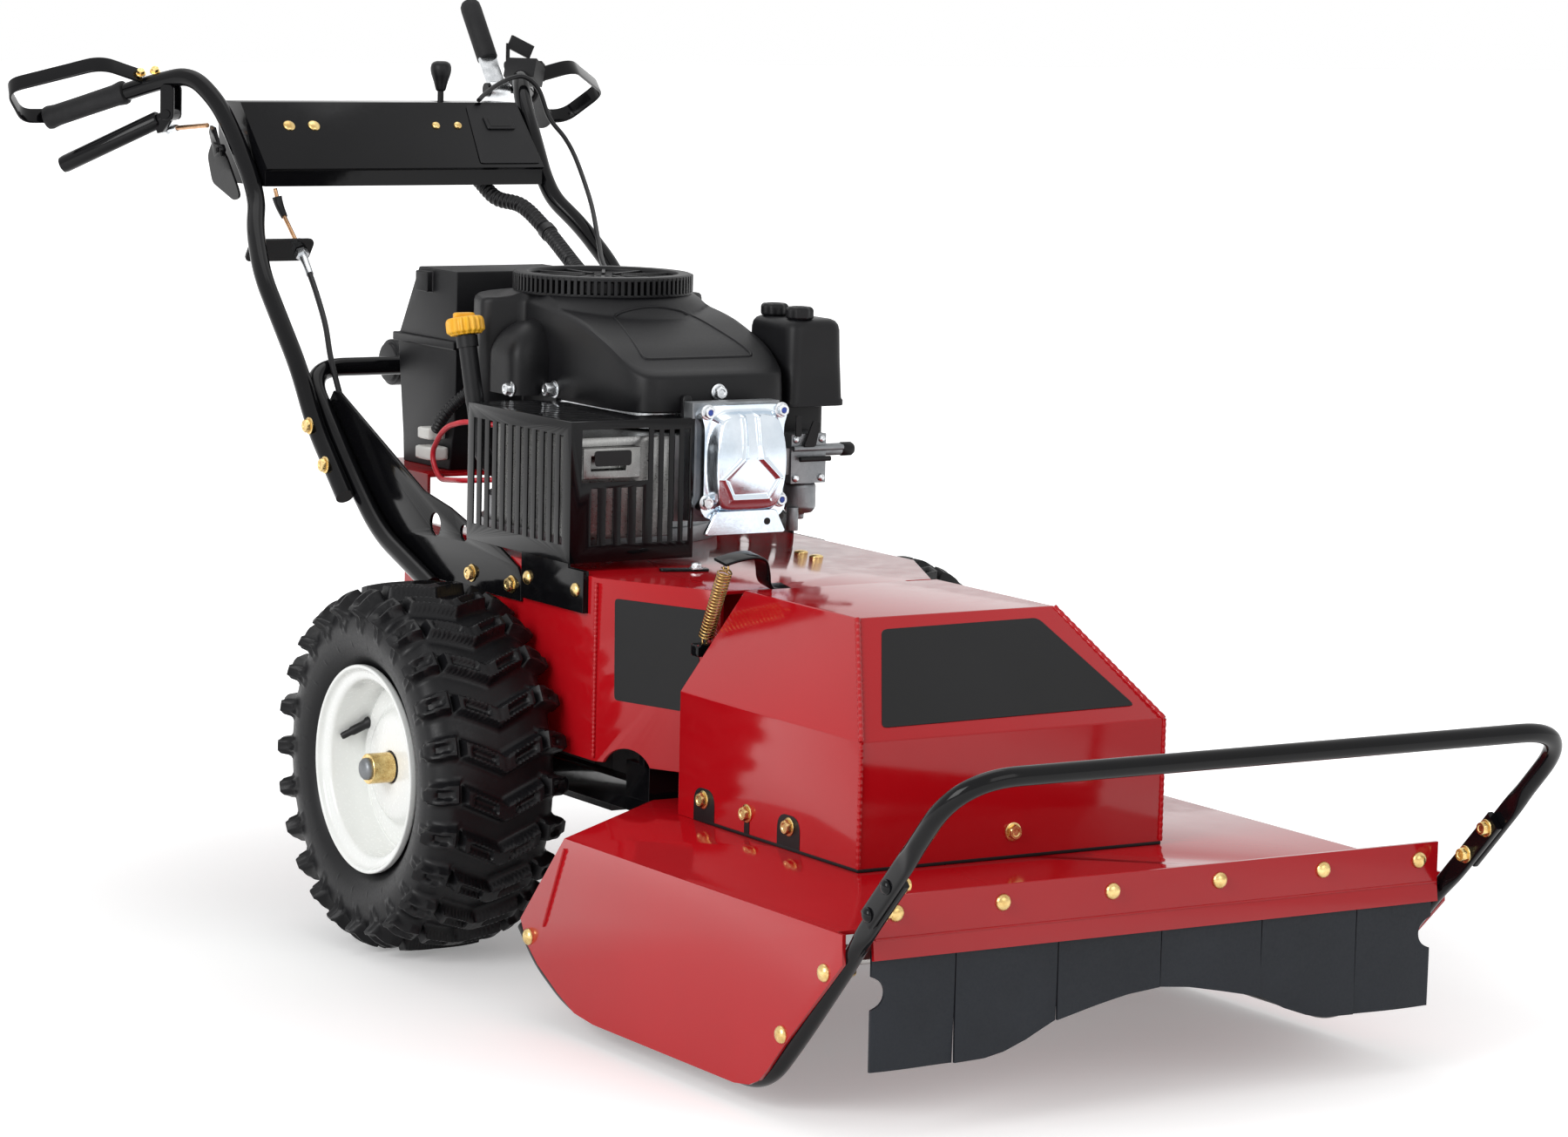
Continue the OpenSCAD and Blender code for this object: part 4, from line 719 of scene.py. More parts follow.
PIN_BORE = 4.1
LEVER = [(0, 18), (9.6, 18), (11, 20), (11, 160), (10.2, 165.5), (7, 166.5), (0, 166.5)]
LEVER_FIN = np.array([(-6, -5, -4), (-6, 6, 2), (-6, 19, -17), (-6, 16, -25), (-6, 9, -23)])
ROD_END = np.array([-232.8, 1128, 886])
ROD_SOCKET = [(0, 6), (4.6, 6), (4.6, 25), (3.6, 27), (0, 27)]
BLADE_AT = np.array([238.0, 1250, 926])
BLADE_DIR = unit([0.0, 83, 110])
BLADE_GRIP = [(0, 48), (12, 48), (13.5, 50), (13.6, 126), (13, 133), (10.5, 137.4), (6, 138), (0, 138)]
BLADE_HUB = [(5.1, -14), (10.4, -14), (11, -13), (11, 13), (10.4, 14), (5.1, 14)]
SHIFT_AT = np.array([99.0, 1145, 860])
SHIFT_KNOB = [(0, 68), (5, 68), (6.5, 70), (9, 80), (12.6, 90), (13.5, 97), (12, 103), (7, 106), (0, 106)]

lever_dir = unit(LEVER_B - LEVER_A)
squeeze = join(turned(LEVER, LEVER_A, lever_dir, 32), rod(LEVER_A, lever_dir, 7, -2, 24, 24),
               sleeve(LEVER_A, LEVER_SIDE, PIN_BORE, 9, -8, 8),
               plate(LEVER_A + LEVER_FIN @ LEVER_TURN.T, LEVER_SIDE, 9.5),
               rod(LEVER_A + LEVER_TURN @ (0, 14, -20), LEVER_SIDE, 4, 0, 23, 18))
make("squeeze_lever", squeeze, black_paint, "squeeze_lever", "drive_lever")
rod_eye = LEVER_A + LEVER_TURN @ (18, 14, -20)
rod_dir = unit(ROD_END - rod_eye)
rod_wire = carried([rod_eye + 22 * rod_dir, rod_eye + 40 * rod_dir, ROD_END], circle(3, 14))
eye = join(sleeve(rod_eye, LEVER_SIDE, PIN_BORE, 7.5, -3.5, 3.5), turned(ROD_SOCKET, rod_eye, rod_dir, 18))
make("lever_rod_wire", rod_wire, copper, "lever_rod", "drive_rod")
make("lever_rod_eye", eye, plain_zinc, "lever_rod")
shank = join(carried([BLADE_AT + d * BLADE_DIR for d in (4, 28, 53)], oblong(3, 13, 2), RIGHT),
             turned(BLADE_HUB, BLADE_AT, RIGHT, 32, closed=True))
blade_grip = turned(BLADE_GRIP, BLADE_AT, BLADE_DIR, 36)
make("blade_lever_grip", blade_grip, grip_rubber, "clutch_lever", "blade_lever")
make("blade_lever_shank", shank, plain_zinc, "clutch_lever")
shift_lever = join(turned(rounded(SHIFT_KNOB, 5, 4), SHIFT_AT, UP, 36), rod(SHIFT_AT, UP, 4, 6, 70),
                   sleeve(SHIFT_AT, RIGHT, PIN_BORE, 7.5, -10, 10))
make("shift_lever_knob", shift_lever, black_plastic, "gear_lever", "shift_lever")
dress("bell_crank", black_paint, 0.6, "crank_arm")
dress("lock_paddle", black_plastic, 0.8, "paddle")
dress("switch_box", black_plastic, 2.0)

# console

CONSOLE_TOP = np.array([0.0, 1118, 915])
FACE_NORMAL = unit([0.0, -1, 1])
FACE_DOWN = unit([0.0, -1, -1])


def on_face(x, run):
    """Point of the console's sloped face: run is the distance down the slope from its upper edge."""
    return CONSOLE_TOP + (x, 0, 0) + run * FACE_DOWN + 0.1 * FACE_NORMAL


meter_panel = [on_face(118, 6), on_face(190, 6), on_face(190, 104), on_face(104, 104)]
bezel = np.array([on_face(134, 26), on_face(174, 26), on_face(174, 48), on_face(134, 48)])
window = np.array([on_face(139, 30), on_face(169, 30), on_face(169, 44), on_face(139, 44)])
dress("console", black_paint, 2.0)
make("meter_panel", rounded_plate(meter_panel, 5, FACE_NORMAL, 1.2), black_plastic)
make("meter_bezel", rounded_plate(bezel + 1.2 * FACE_NORMAL, 4, FACE_NORMAL, 2.4, 0.8), black_plastic)
make("meter_window", rounded_plate(window + 3.5 * FACE_NORMAL, 2, FACE_NORMAL, 0.5, 0.2), decal_and_shade_black)

# hood and intake

HOOD_SIDES = 200
HOOD_R = 150.0
HOOD_HALF = 104
HOOD_REACH = 263
HOOD_POWER = 9
HOOD_STEP_Y = 470
HOOD_CREASE = [(0, 270, 60), (0, 284, 61), (0, 300, 64), (0, 320, 73), (0, 345, 86), (0, 377, 98),
               (0, 426, 113), (0, 491, 124), (0, 540, 128.5), (0, 600, 129), (0, 800, 129)]
INTAKE_AT = (0, CRANK_Y, 0)
INTAKE_R = 98.0
INTAKE_RISE = 137.0
DOME_AT = (-102, 523, 609)
DOME_HALF = 38
DOME_DEEP = 44
DOME_HIGH = 84
DOME_POWER = 0.45


def hood_outline():
    """Plan of the hood about the crankshaft: a rounded rectangle ahead, widening to a circle behind."""
    turn = full_turn(HOOD_SIDES)
    x, y = np.sin(turn), -np.cos(turn)
    box = (np.abs(x) / HOOD_HALF) ** HOOD_POWER + (np.clip(-y, 0, 1) / HOOD_REACH) ** HOOD_POWER
    box = box ** (-1 / HOOD_POWER)
    share = eased(np.clip((y + 0.02) / 0.17, 0, 1))
    return x, y, np.where(share > 0, np.minimum(box, HOOD_R) * (1 - share) + HOOD_R * share, box)


def hood_pile(levels):
    """Pile of rings in the hood's directions: each level gives a ring's radius and height."""
    x, y, _ = hood_outline()
    pile = np.array([np.broadcast_arrays(*level, x)[:2] for level in levels])
    grid = np.stack([pile[:, 0] * x, CRANK_Y + pile[:, 0] * y, HOOD_LOW + pile[:, 1]], axis=-1)
    return grid_shape(grid, wrap_cols=True)


def hood_shape():
    """Hood as a pile of outlines.

    The wall stands up to a crease whose height is a curve of the distance along the machine; from the crease
    inwards the top follows the same curve, so it is level across the machine, up to the intake ring.
    """
    _, y, reach = hood_outline()
    curve = flowing(HOOD_CREASE, 400)

    def crease(radius):
        """Height of the crease's curve at a radius in each direction."""
        return np.interp(CRANK_Y + radius * y, curve[:, 1], curve[:, 2])

    top = crease(reach)
    foot = np.where(CRANK_Y + reach * y < HOOD_STEP_Y, 19.0, 4.0)
    levels = [(0, foot), (reach - 3, foot), (reach, foot + 2), (reach - 0.5, 0.5 * (foot + top)),
              (reach - 1.5, top - 7), (reach - 2.6, top - 3), (reach - 5.4, crease(reach - 5.4) - 0.8)]
    inner = np.minimum(INTAKE_R, reach - 10)
    for share in np.linspace(0, 1, 20)[1:]:
        radius = (reach - 9) * (1 - share) + inner * share
        near = np.clip((INTAKE_R + 24 - radius) / 24, 0, 1)
        levels.append((radius, crease(radius) * (1 - near) + np.maximum(crease(radius), INTAKE_RISE) * near))
    return hood_pile(levels + [(0, INTAKE_RISE)])


def shroud_shape():
    """Bright plate below the hood: the hood's outline a little smaller, between two heights."""
    reach = hood_outline()[2] - 5
    return hood_pile([(0, 2), (reach, 2), (reach, 21), (0, 21)])


def hood_dome():
    """Arched bulge on the hood's left wall: half superellipses, narrower and less deep towards the top."""
    up = np.linspace(0, 1, 26)[:, None]
    turn = np.linspace(-np.pi / 2, np.pi / 2, 40)[None, :]
    wide = DOME_HALF * np.sqrt(1 - np.clip((up - 0.35) / 0.65, 0, 1) ** 2.4)
    deep = DOME_DEEP * np.sqrt(1 - np.clip((up - 0.52) / 0.48, 0, 1) ** 1.6) + 1
    y = wide * np.sign(np.sin(turn)) * np.abs(np.sin(turn)) ** DOME_POWER
    x = -deep * np.abs(np.cos(turn)) ** DOME_POWER
    return grid_shape(np.stack(np.broadcast_arrays(x, y, DOME_HIGH * up), axis=-1) + DOME_AT)


hood = make("hood", hood_shape(), black_plastic, node="blower_housing", sharp=50)
make("cylinder_shroud", shroud_shape(), plain_zinc)


def resting(path, lift):
    """Path points dropped straight down onto the hood and lifted by a little."""
    heights = []
    for x, y in path:
        above = (np.array([x, y, 900.0]) - SHIFT) / MM
        hit, place, _, _ = hood.ray_cast(above.tolist(), DOWN)
        heights.append(place[2] * MM + SHIFT[2] if hit else HOOD_LOW)
    return np.column_stack([path, np.array(heights) + lift])


FRAME_PLAN = rounded_loop([(-50, 436), (50, 436), (72, 326), (-72, 326)], 8, 6)
frame_line = spaced(np.concatenate([FRAME_PLAN, FRAME_PLAN[:1]]), 120)
make("hood_frame", carried(resting(frame_line, -0.5), circle(1.9, 10)), black_plastic)

POSTS = 84
RING = [(86, 720), (103, 720), (104, 722), (104, 724), (97, 725), (97, 738), (104, 739), (104, 742),
        (101, 744), (88, 744), (86, 741)]
POST = [(96, -1.9, 723), (104.6, -1.9, 723), (104.6, 1.9, 723), (96, 1.9, 723)]
SCREEN_R = 87
SCREEN_LOW = 728
RIBS = 12


def ring_posts():
    """One post turned to equal angles round the crankshaft."""
    points, faces = plate(POST, UP, 19.6, 0.4)
    turn = full_turn(POSTS)[:, None]
    x = np.cos(turn) * points[:, 0] - np.sin(turn) * points[:, 1]
    y = np.sin(turn) * points[:, 0] + np.cos(turn) * points[:, 1]
    posts = np.stack(np.broadcast_arrays(x, y, points[:, 2]), axis=-1).reshape(-1, 3) + INTAKE_AT
    starts = (np.arange(POSTS) * len(points))[:, None, None]
    return posts, (faces[None] + starts).reshape(-1, 4)


def intake_screen():
    """Disc whose top steps up and down in rings, by the sign of a sine of the radius."""
    radius = np.linspace(0, SCREEN_R, 60)
    steps = np.stack([radius, 737 + 1.6 * np.sign(np.sin(radius * 0.72))], axis=1)
    return turned(np.concatenate([steps, [(SCREEN_R, SCREEN_LOW), (0, SCREEN_LOW)]]), INTAKE_AT, UP, 72)


def screen_rib(turn):
    """Flat bar on the screen, from near its middle to its edge."""
    line = [np.add(INTAKE_AT, (r * np.cos(turn), r * np.sin(turn), 739.5)) for r in (24, 55, 88)]
    return carried(line, oblong(2, 1.5, 0.6, 2), UP)


intake_ring = turned(rounded_loop(RING, 1.0, 3), INTAKE_AT, UP, 120, closed=True)
hood_bolts = join(hex_head((0.8, 284, 628), AHEAD, 13, 9), hex_head((-144, 500, 616), LEFT, 12, 9),
                  hex_head((-104, 470, 617), LEFT, 14, 14))
hood_clip = join(soft_box((-42, 281, 612), (6, 4, 14), 5, 14), soft_box((-42, 276, 602), (4, 6, 8), 4, 14))
make("intake_ring", join(intake_ring, ring_posts()), black_plastic)
make("intake_screen", intake_screen(), black_plastic)
make("screen_ribs", join(*[screen_rib(turn) for turn in full_turn(RIBS)]), black_plastic)
make("hood_side_dome", hood_dome(), black_plastic, sharp=50, fill=True)
make("hood_bolts", hood_bolts, plain_zinc)
make("hood_clip", hood_clip, black_plastic)

# cylinder, muffler and carburettor

VALVE_LOW = np.array([-52.0, 493.0])
VALVE_HIGH = np.array([58.0, 619.0])
VALVE_Y = 233
VALVE_BACK = 245.7
VALVE_FLANGE = 4
VALVE_BODY = 10
VALVE_CROWN = 11.0
VALVE_RIM = 2.2
VALVE_FIELD = 0.9
COVER_BOLTS = [(-45, 612), (50, 612), (50, 512), (-45, 512)]
BRACKET = [(-50, 228, 476), (55, 228, 476), (42, 228, 502), (-36, 228, 502)]
# outline of the painted shade inside the muffler's outlet
OUTLET_SHADE = [(-182, 237.8, 556), (-136, 237.8, 556), (-136, 237.8, 573), (-182, 237.8, 573)]
LOCK_DOT = [(0, 0), (3.2, 0), (2.6, 0.8), (0, 1)]
STOP = [(0, 0), (7, 0), (8, 2), (8, 14), (6, 17), (0, 17)]
BOWL = [(0, 0), (17, 0), (19, 3), (19, 28), (15, 34), (6, 35), (6, 42), (0, 42)]
CHOKE_ARM = [(116, 287, 562), (132, 287, 562), (138, 287, 590), (128, 287, 592)]
CHOKE_TAB = [(104, 286, 574), (112, 286, 574), (112, 286, 598), (104, 286, 598)]
CARB_SCREWS = [(110, 292, 570), (144, 292, 570), (110, 292, 526), (144, 292, 526)]


def valve_cover_shape():
    """Stamped cover: its depth over a grid is a flange plus a raised body with sloped sides.

    The body is domed in height. A rim runs round a plain field, narrow above and six-sided below.
    """
    s = np.linspace(-1, 1, 121)[:, None]
    t = np.linspace(-1, 1, 141)[None, :]
    barrel = np.abs(s) / (0.98 - 0.24 * t ** 2)
    corner = (barrel ** 6 + (np.abs(t) / 0.92) ** 6) ** (1 / 6)
    body = eased(np.clip((1 - corner) / 0.14, 0, 1))
    half_field = np.interp(t, [-1, -0.64, -0.28, 0.06, 0.3, 1], [0.44, 0.44, 0.70, 0.24, 0.19, 0.17])
    away = np.maximum(np.abs(s) - half_field, -0.64 - t)
    rim = np.exp(-(away / np.where((t > -0.3) & (t < 0.08), 0.075, 0.045)) ** 2)
    crown = VALVE_CROWN * (1 - t ** 2) * (0.75 + 0.25 * (1 - s ** 2))
    relief = VALVE_RIM * rim - VALVE_FIELD * np.clip(-away / 0.08, 0, 1)
    deep = VALVE_FLANGE + body * (VALVE_BODY + crown + relief)
    ears = 0.93 + 0.07 * np.exp(-((np.abs(t) - 0.82) / 0.14) ** 2)
    corners = 1 - 0.05 * np.abs(s) ** 8 * np.abs(t) ** 8
    middle = (VALVE_LOW + VALVE_HIGH) / 2
    half = (VALVE_HIGH - VALVE_LOW) / 2
    x = middle[0] + half[0] * s * ears * corners
    z = middle[1] + half[1] * t * corners
    front = np.stack(np.broadcast_arrays(x, VALVE_Y - deep, z), axis=-1)
    padded = np.pad(front, ((1, 1), (1, 1), (0, 0)), mode="edge")
    back = np.ones(padded.shape[:2], bool)
    back[1:-1, 1:-1] = False
    padded[back, 1] = VALVE_BACK
    return grid_shape(padded)


cover_bolts = heads(hex_head, [(x, 229, z) for x, z in COVER_BOLTS], AHEAD, 12, 7)
locks = join(*[turned(LOCK_DOT, (x, 222.6, z), AHEAD, 16) for x, z in COVER_BOLTS[:3]])
throttle_stop = join(turned(STOP, (176, 304, 556), RIGHT, 24), rod((112, 286, 548), RIGHT, 3, 0, 40, 14))
bowl = turned(rounded(BOWL, 2, 3), (128, 312, 519), DOWN, 32)
choke_shaft = rod((104, 288, 560), RIGHT, 3.2, 0, 66, 14)
choke = join(rounded_plate(CHOKE_ARM, 3, AHEAD, 2.5), rounded_plate(CHOKE_TAB, 3, AHEAD, 2.5))
make("rocker_cover", valve_cover_shape(), bright_cover, node="valve_cover", sharp=60, fill=True)
make("rocker_bracket", rounded_plate(BRACKET, 4, AHEAD, 7, 1.2), bright_cover)
make("rocker_bolts", cover_bolts, plain_zinc)
# black disc on the bracket: painted shade of its hole
make("painted_hole_shade", rod((30, 221, 489), AHEAD, 4, 0, 0.4, 24), decal_and_shade_black)
make("rocker_bolt_locks", locks, blue_lock)
dress("engine_block", cast_alloy, 1.6)
dress("muffler", muffler_steel, 9.0)
# thin black plate on the muffler: painted shade inside its outlet
make("painted_outlet_shade", rounded_plate(OUTLET_SHADE, 4, AHEAD, 0.6, 0.2), decal_and_shade_black)
dress("muffler_guard", black_paint, 0.7)
dress("carburettor", cast_alloy, 2.2)
make("throttle_stop", throttle_stop, black_plastic)
make("carburettor_bowl", join(bowl, choke_shaft), cast_alloy)
make("choke_levers", choke, black_plastic)
make("carburettor_screws", heads(dome_head, CARB_SCREWS, AHEAD, 9, 3.5), plain_zinc)

# air filter, oil tube, tank and belt

FILTER = [(606, 36, 50, 10), (606.6, 38, 52, 12), (612, 38, 52, 12), (615, 37, 51, 14), (660, 35.6, 49.6, 16),
          (692, 35, 49, 17), (698, 33.8, 47.8, 17), (702, 31, 45, 16), (704, 27, 41, 14)]
DUCT = [(540, 25, 23, 8), (542, 28, 26.5, 9), (560, 29, 27.4, 10), (606, 29, 27.4, 10)]
KNOB = rounded([(0, 0), (14, 0), (15.5, 2), (15.5, 11), (13, 14), (9, 14), (7.5, 12.5), (0, 12.5)], 1.6, 3)
KNOB_SIDES = 48
KNOB_LOBES = 8
DIP_LOW = np.array([-183.0, 514, 600])
DIP_TOP = np.array([-187.0, 530, 676])
DIP_BEND = [(-112, 522, 520), (-150, 512, 520), (-176, 508, 545), DIP_LOW]
CAP = rounded([(0, 0.3), (17, 0.3), (18, 2), (21, 4), (21, 16), (19, 20), (15, 20.6), (0, 20.6)], 2, 3)
CAP_SIDES = 144
CAP_RIBS = 18
CAN = rounded([(0, -4), (24, -4), (24, 0), (28, 0), (28, 70), (24, 70), (24, 74), (0, 74)], 2, 3)
CRANK_PULLEY_R = 50
SPINDLE_PULLEY_R = 62

make("filter_box", join(tower(141, 349, FILTER), tower(141, 355.8, DUCT)), black_plastic, node="air_filter")
lobes = np.tile(1 + 0.055 * np.cos(KNOB_LOBES * full_turn(KNOB_SIDES)), (len(KNOB), 1))
for tag, y in (("a", 320), ("b", 374)):
    knob = turned(KNOB, (128, y, 704.3), UP, KNOB_SIDES, lobes)
    make("filter_cap_" + tag, knob, black_plastic, "knob_" + tag, "filter_knob_" + tag)
dip_dir = unit(DIP_TOP - DIP_LOW)
dip_path = np.concatenate([flowing(DIP_BEND, 40), [DIP_TOP]])
dip_radius = np.append(np.full(39, 10.0), [10.5, 10.5])
cap_ribs = np.clip(2 * np.cos(CAP_RIBS * full_turn(CAP_SIDES)), -1, 1)
cap = turned(CAP, DIP_TOP, dip_dir, CAP_SIDES, np.tile(1 + 0.05 * cap_ribs, (len(CAP), 1)))
cap_bar = soft_box(DIP_TOP + 22 * dip_dir, (13, 4, 4), 6, 12)
make("oil_tube", carried(dip_path, circle(dip_radius, 24)), black_plastic, node="dip_tube")
make("oil_tube_collar", sleeve(DIP_TOP, dip_dir, 10.4, 12.5, -14, -1, 32), black_plastic)
make("oil_cap", join(cap, cap_bar), yellow_plastic, "oil_stick", "dipstick")
make("oil_stick_rod", rod(DIP_TOP, dip_dir, 3, -66, 1, 14), steel, "oil_stick")
dress("fuel_tank", black_plastic, 9.0)
make("vapour_can", turned(CAN, (-88, 911.4, 609), RIGHT, 48), black_plastic, node="canister")
dress("crankshaft", steel, 0.8, "crank")


def belt_shape():
    """Vee section carried round two pulleys: arcs on their far sides joined by straight runs."""
    a = np.linspace(0, np.pi, 30)
    half_circle = np.stack([np.cos(a), np.sin(a)], axis=1)
    rear = (0, CRANK_Y) + CRANK_PULLEY_R * half_circle
    fore = (0, SPIN_Y) - SPINDLE_PULLEY_R * half_circle
    loop = spaced(np.concatenate([rear, fore, rear[:1]]), 241)[:-1]
    ahead = unit(np.roll(loop, -1, axis=0) - np.roll(loop, 1, axis=0))
    out = np.stack([ahead[:, 1], -ahead[:, 0]], axis=1)
    section = np.array([(4, -5), (4, 5), (-4, 3), (-4, -3)])
    flat = loop[:, None] + section[None, :, :1] * out[:, None]
    level = np.broadcast_to(BELT_Z + section[:, 1], flat.shape[:2])
    return grid_shape(np.concatenate([flat, level[..., None]], axis=2), True, True)


belt = make("vee_belt", belt_shape(), cable_black, None, "drive_belt", sharp=30)
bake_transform(belt)

# chassis and handle plates

STRAP = [(-154, 15, 477), (-134, 17, 481), (-112, 21, 482), (-98, 26, 477), (-91, 31, 464), (-87, 35, 452),
         (-80, 38, 445), (-70, 39, 443), (-56, 40, 442.8)]
GUARD_TAB = [(-116, 204, 441.2), (-64, 186, 441.2), (-60, 198, 441.2), (-112, 216, 441.2)]
NOSE_REAR = np.array([-205.0, 188, 0])
NOSE_RUN = np.array([71.0, -143, 0])
NOSE_NORMAL = unit([-143.0, -71, 0])


def on_nose(run, z):
    """Point of the chassis's left nose face: run is the share of its length from its rear edge forward."""
    return NOSE_REAR + run * NOSE_RUN + (0, 0, z) + 0.1 * NOSE_NORMAL


strap = carried(flowing(STRAP, 60), oblong(11, 1.6, 1.4), (0.35, -0.15, 0.92))
SIDE_PANEL = [(0.15, 421), (0.90, 419), (0.90, 372), (0.84, 372), (0.84, 306), (0.16, 310)]
side_panel = [on_nose(run, z) for run, z in SIDE_PANEL]
nose_weld = bead([on_nose(0.0, z) + (-0.6, 0, 0) for z in (244, 436)], 2.4, 5.0)
dress("transaxle", cast_iron, 4.0)
dress("chassis", red_paint, 1.4)
dress("pivot_frame", black_paint, 1.5)
dress("side_plates", black_paint, 1.0)
make("spring_strap_band", strap, black_paint, node="spring_strap")
make("spring_foot", soft_box((-149, 54, 378), (12, 8.4, 7), 8, 16), black_paint)
make("guard_tab", rounded_plate(GUARD_TAB, 4, UP, 3, 0.6), black_paint)
make("guard_tab_bolt", hex_head((-76, 195, 444.2), UP, 11, 6), plain_zinc)
make("side_panel", rounded_plate(side_panel, 5, NOSE_NORMAL, 0.5, 0.2), decal_and_shade_black)
make("chassis_weld", mirrored(nose_weld), red_paint)

# deck and belt cover

SKIRT_WELD = [(-364.2, -34.0, 194), (-364.2, 8.0, 105)]
COVER_NORMAL = unit(np.cross(RIGHT, [0, 113, 107]))
FRONT_PANEL = np.array([(-101, -219, 433.6), (94, -217.5, 435), (159, -306, 351.2), (-156, -308.8, 348.6)])
COVER_FOOT = (-COVER_X, COVER_Y, DECK_Z + 4)
COVER_FOLD = (-COVER_X, COVER_Y, FOLD_Z)
COVER_RIDGE = (-122.5, -207, 444)
FLANGE_FOLD = 201.0
# thin black strip along the cover's lower edge: painted shadow in the gap between cover and deck
SHADOW_GAP_Z = 207
SHADOW_GAP_X = COVER_X + 0.4
SHADOW_GAP_Y = COVER_Y - 0.4
SHADOW_GAP_LINE = [(-SHADOW_GAP_X, -20, SHADOW_GAP_Z), (-SHADOW_GAP_X, SHADOW_GAP_Y, SHADOW_GAP_Z), (SHADOW_GAP_X, SHADOW_GAP_Y, SHADOW_GAP_Z), (SHADOW_GAP_X, -20, SHADOW_GAP_Z)]


def notch_shade_plate(y, half, top, radius):
    """Black arch on the cover's side, from its lower edge up: painted shade where the side is cut open."""
    low = DECK_Z + 0.5
    arch = rounded([(y - half, low), (y - half, top), (y + half, top), (y + half, low)], radius, 8)
    return plate(np.column_stack([np.full(len(arch), -COVER_X - 0.05), arch]), LEFT, 0.6, 0.2)


front_panel = rounded_plate(FRONT_PANEL + 0.2 * COVER_NORMAL, 7, COVER_NORMAL, 0.6, 0.3)
cover_welds = [bead([COVER_FOOT, COVER_FOLD], 2.6, 7), bead([COVER_FOLD, COVER_RIDGE], 3.2, 9)]
flange_fold = carried([(x, FLANGE_Y - 0.2, FLANGE_FOLD) for x in (-338.0, 0.0, 338.0)], circle(1.1, 10))
shadow_gap_strip = carried(rounded(SHADOW_GAP_LINE, 1.0, 3), oblong(0.35, 1.7, 0.3, 2), UP)
notch_shades = [notch_shade_plate(-18.0, 21, 242, 20), notch_shade_plate(-105.0, 5, 231, 4), notch_shade_plate(-187.0, 22, 242, 20)]
dress("deck", red_paint, 1.6, "mowing_deck", 7)
dress("belt_cover", red_paint, 1.4, "mowing_deck", 18)
make("skirt_weld", mirrored(bead(SKIRT_WELD, 1.7, 8)), red_paint, "mowing_deck")
make("front_panel", front_panel, decal_and_shade_black, "mowing_deck")
make("cover_weld", mirrored(*cover_welds), red_paint, "mowing_deck")
make("flange_fold", flange_fold, red_paint, "mowing_deck")
# painted shadow of the gap under the cover
make("painted_shadow_gap", shadow_gap_strip, decal_and_shade_black, "mowing_deck")
# painted shade in the cover's side cut-outs
make("painted_notch_shades", mirrored(*notch_shades), decal_and_shade_black, "mowing_deck")

# skids, bumper and blade

SKID = [(-SKID_X, 70, 94), (-SKID_X, 34, 62), (-SKID_X, -40, 27.5), (-SKID_X, -418, 27.5),
        (-SKID_X, -476, 84), (-SKID_X, -566, 180), (-TAB_X, -598, 214), (-TAB_X, -655, 274)]
BUMPER = [(-BUMPER_X, -611, 227.6), (-BUMPER_X, -660, 279), (-BUMPER_X, -756, 382), (0, -756, 382)]
BUMPER_NORMAL = (0, 0.731, 0.682)
FLAT_END = 120


def flattened(path, blend, thin, wide):
    """Circle sections that turn into thin wide ovals within a distance, near the path's far end."""
    s = lengths(path)
    share = eased(np.clip((s - (s[-1] - FLAT_END)) / blend, 0, 1))[:, None]
    a = full_turn(28)
    power = 1 - 0.65 * share
    across = np.sign(np.cos(a)) * np.abs(np.cos(a)) ** power
    through = np.sign(np.sin(a)) * np.abs(np.sin(a)) ** power
    half_wide = SKID_R + (wide - SKID_R) * share
    half_thin = SKID_R + (thin - SKID_R) * share
    return np.stack([half_wide * across, half_thin * through], axis=-1)


skid_path = spaced(rounded(SKID, 40, 10), 170)
skid = carried(skid_path, flattened(skid_path, 44, 4, 11), RIGHT)
bump_half = spaced(rounded(BUMPER, 66, 14), 140)
bump_path = np.concatenate([bump_half, (bump_half * MIRROR)[::-1][1:]])
bump_flat = flattened(bump_half[::-1], 40, 11, 4)
bumper = carried(bump_path, np.concatenate([bump_flat[::-1], bump_flat[1:]]), BUMPER_NORMAL)
make("skid_tube_pair", mirrored(skid), black_paint, "mowing_deck", "skid_tubes")
make("bumper_hoop", bumper, black_paint, "mowing_deck", "bumper")
dress("flap_clamp", steel, 0.8, "mowing_deck")
dress("spindle_housing", cast_iron, 3.0, "mowing_deck")
dress("spindle", steel, 1.0, "cutter")
dress("blade", steel, 1.0, "cutter")

# flaps

FLAPS = 6
FLAP_X = (-338.0, -242.0, -123.0, 0.0, 123.0, 242.0, 338.0)
FLAP_TOP = 189.2
FLAP_LOW = 72.0
FLAP_THICK = 3.0
FLAP_CUT = ([(0, 0), (1, 0)], [(0, 0), (0.3, 1), (0.5, 5), (0.72, 14), (1, 30)],
            [(0, 30), (0.4, 40), (0.7, 47), (1, 51)])
BITE_R = 15.0
BITE_Z = 148


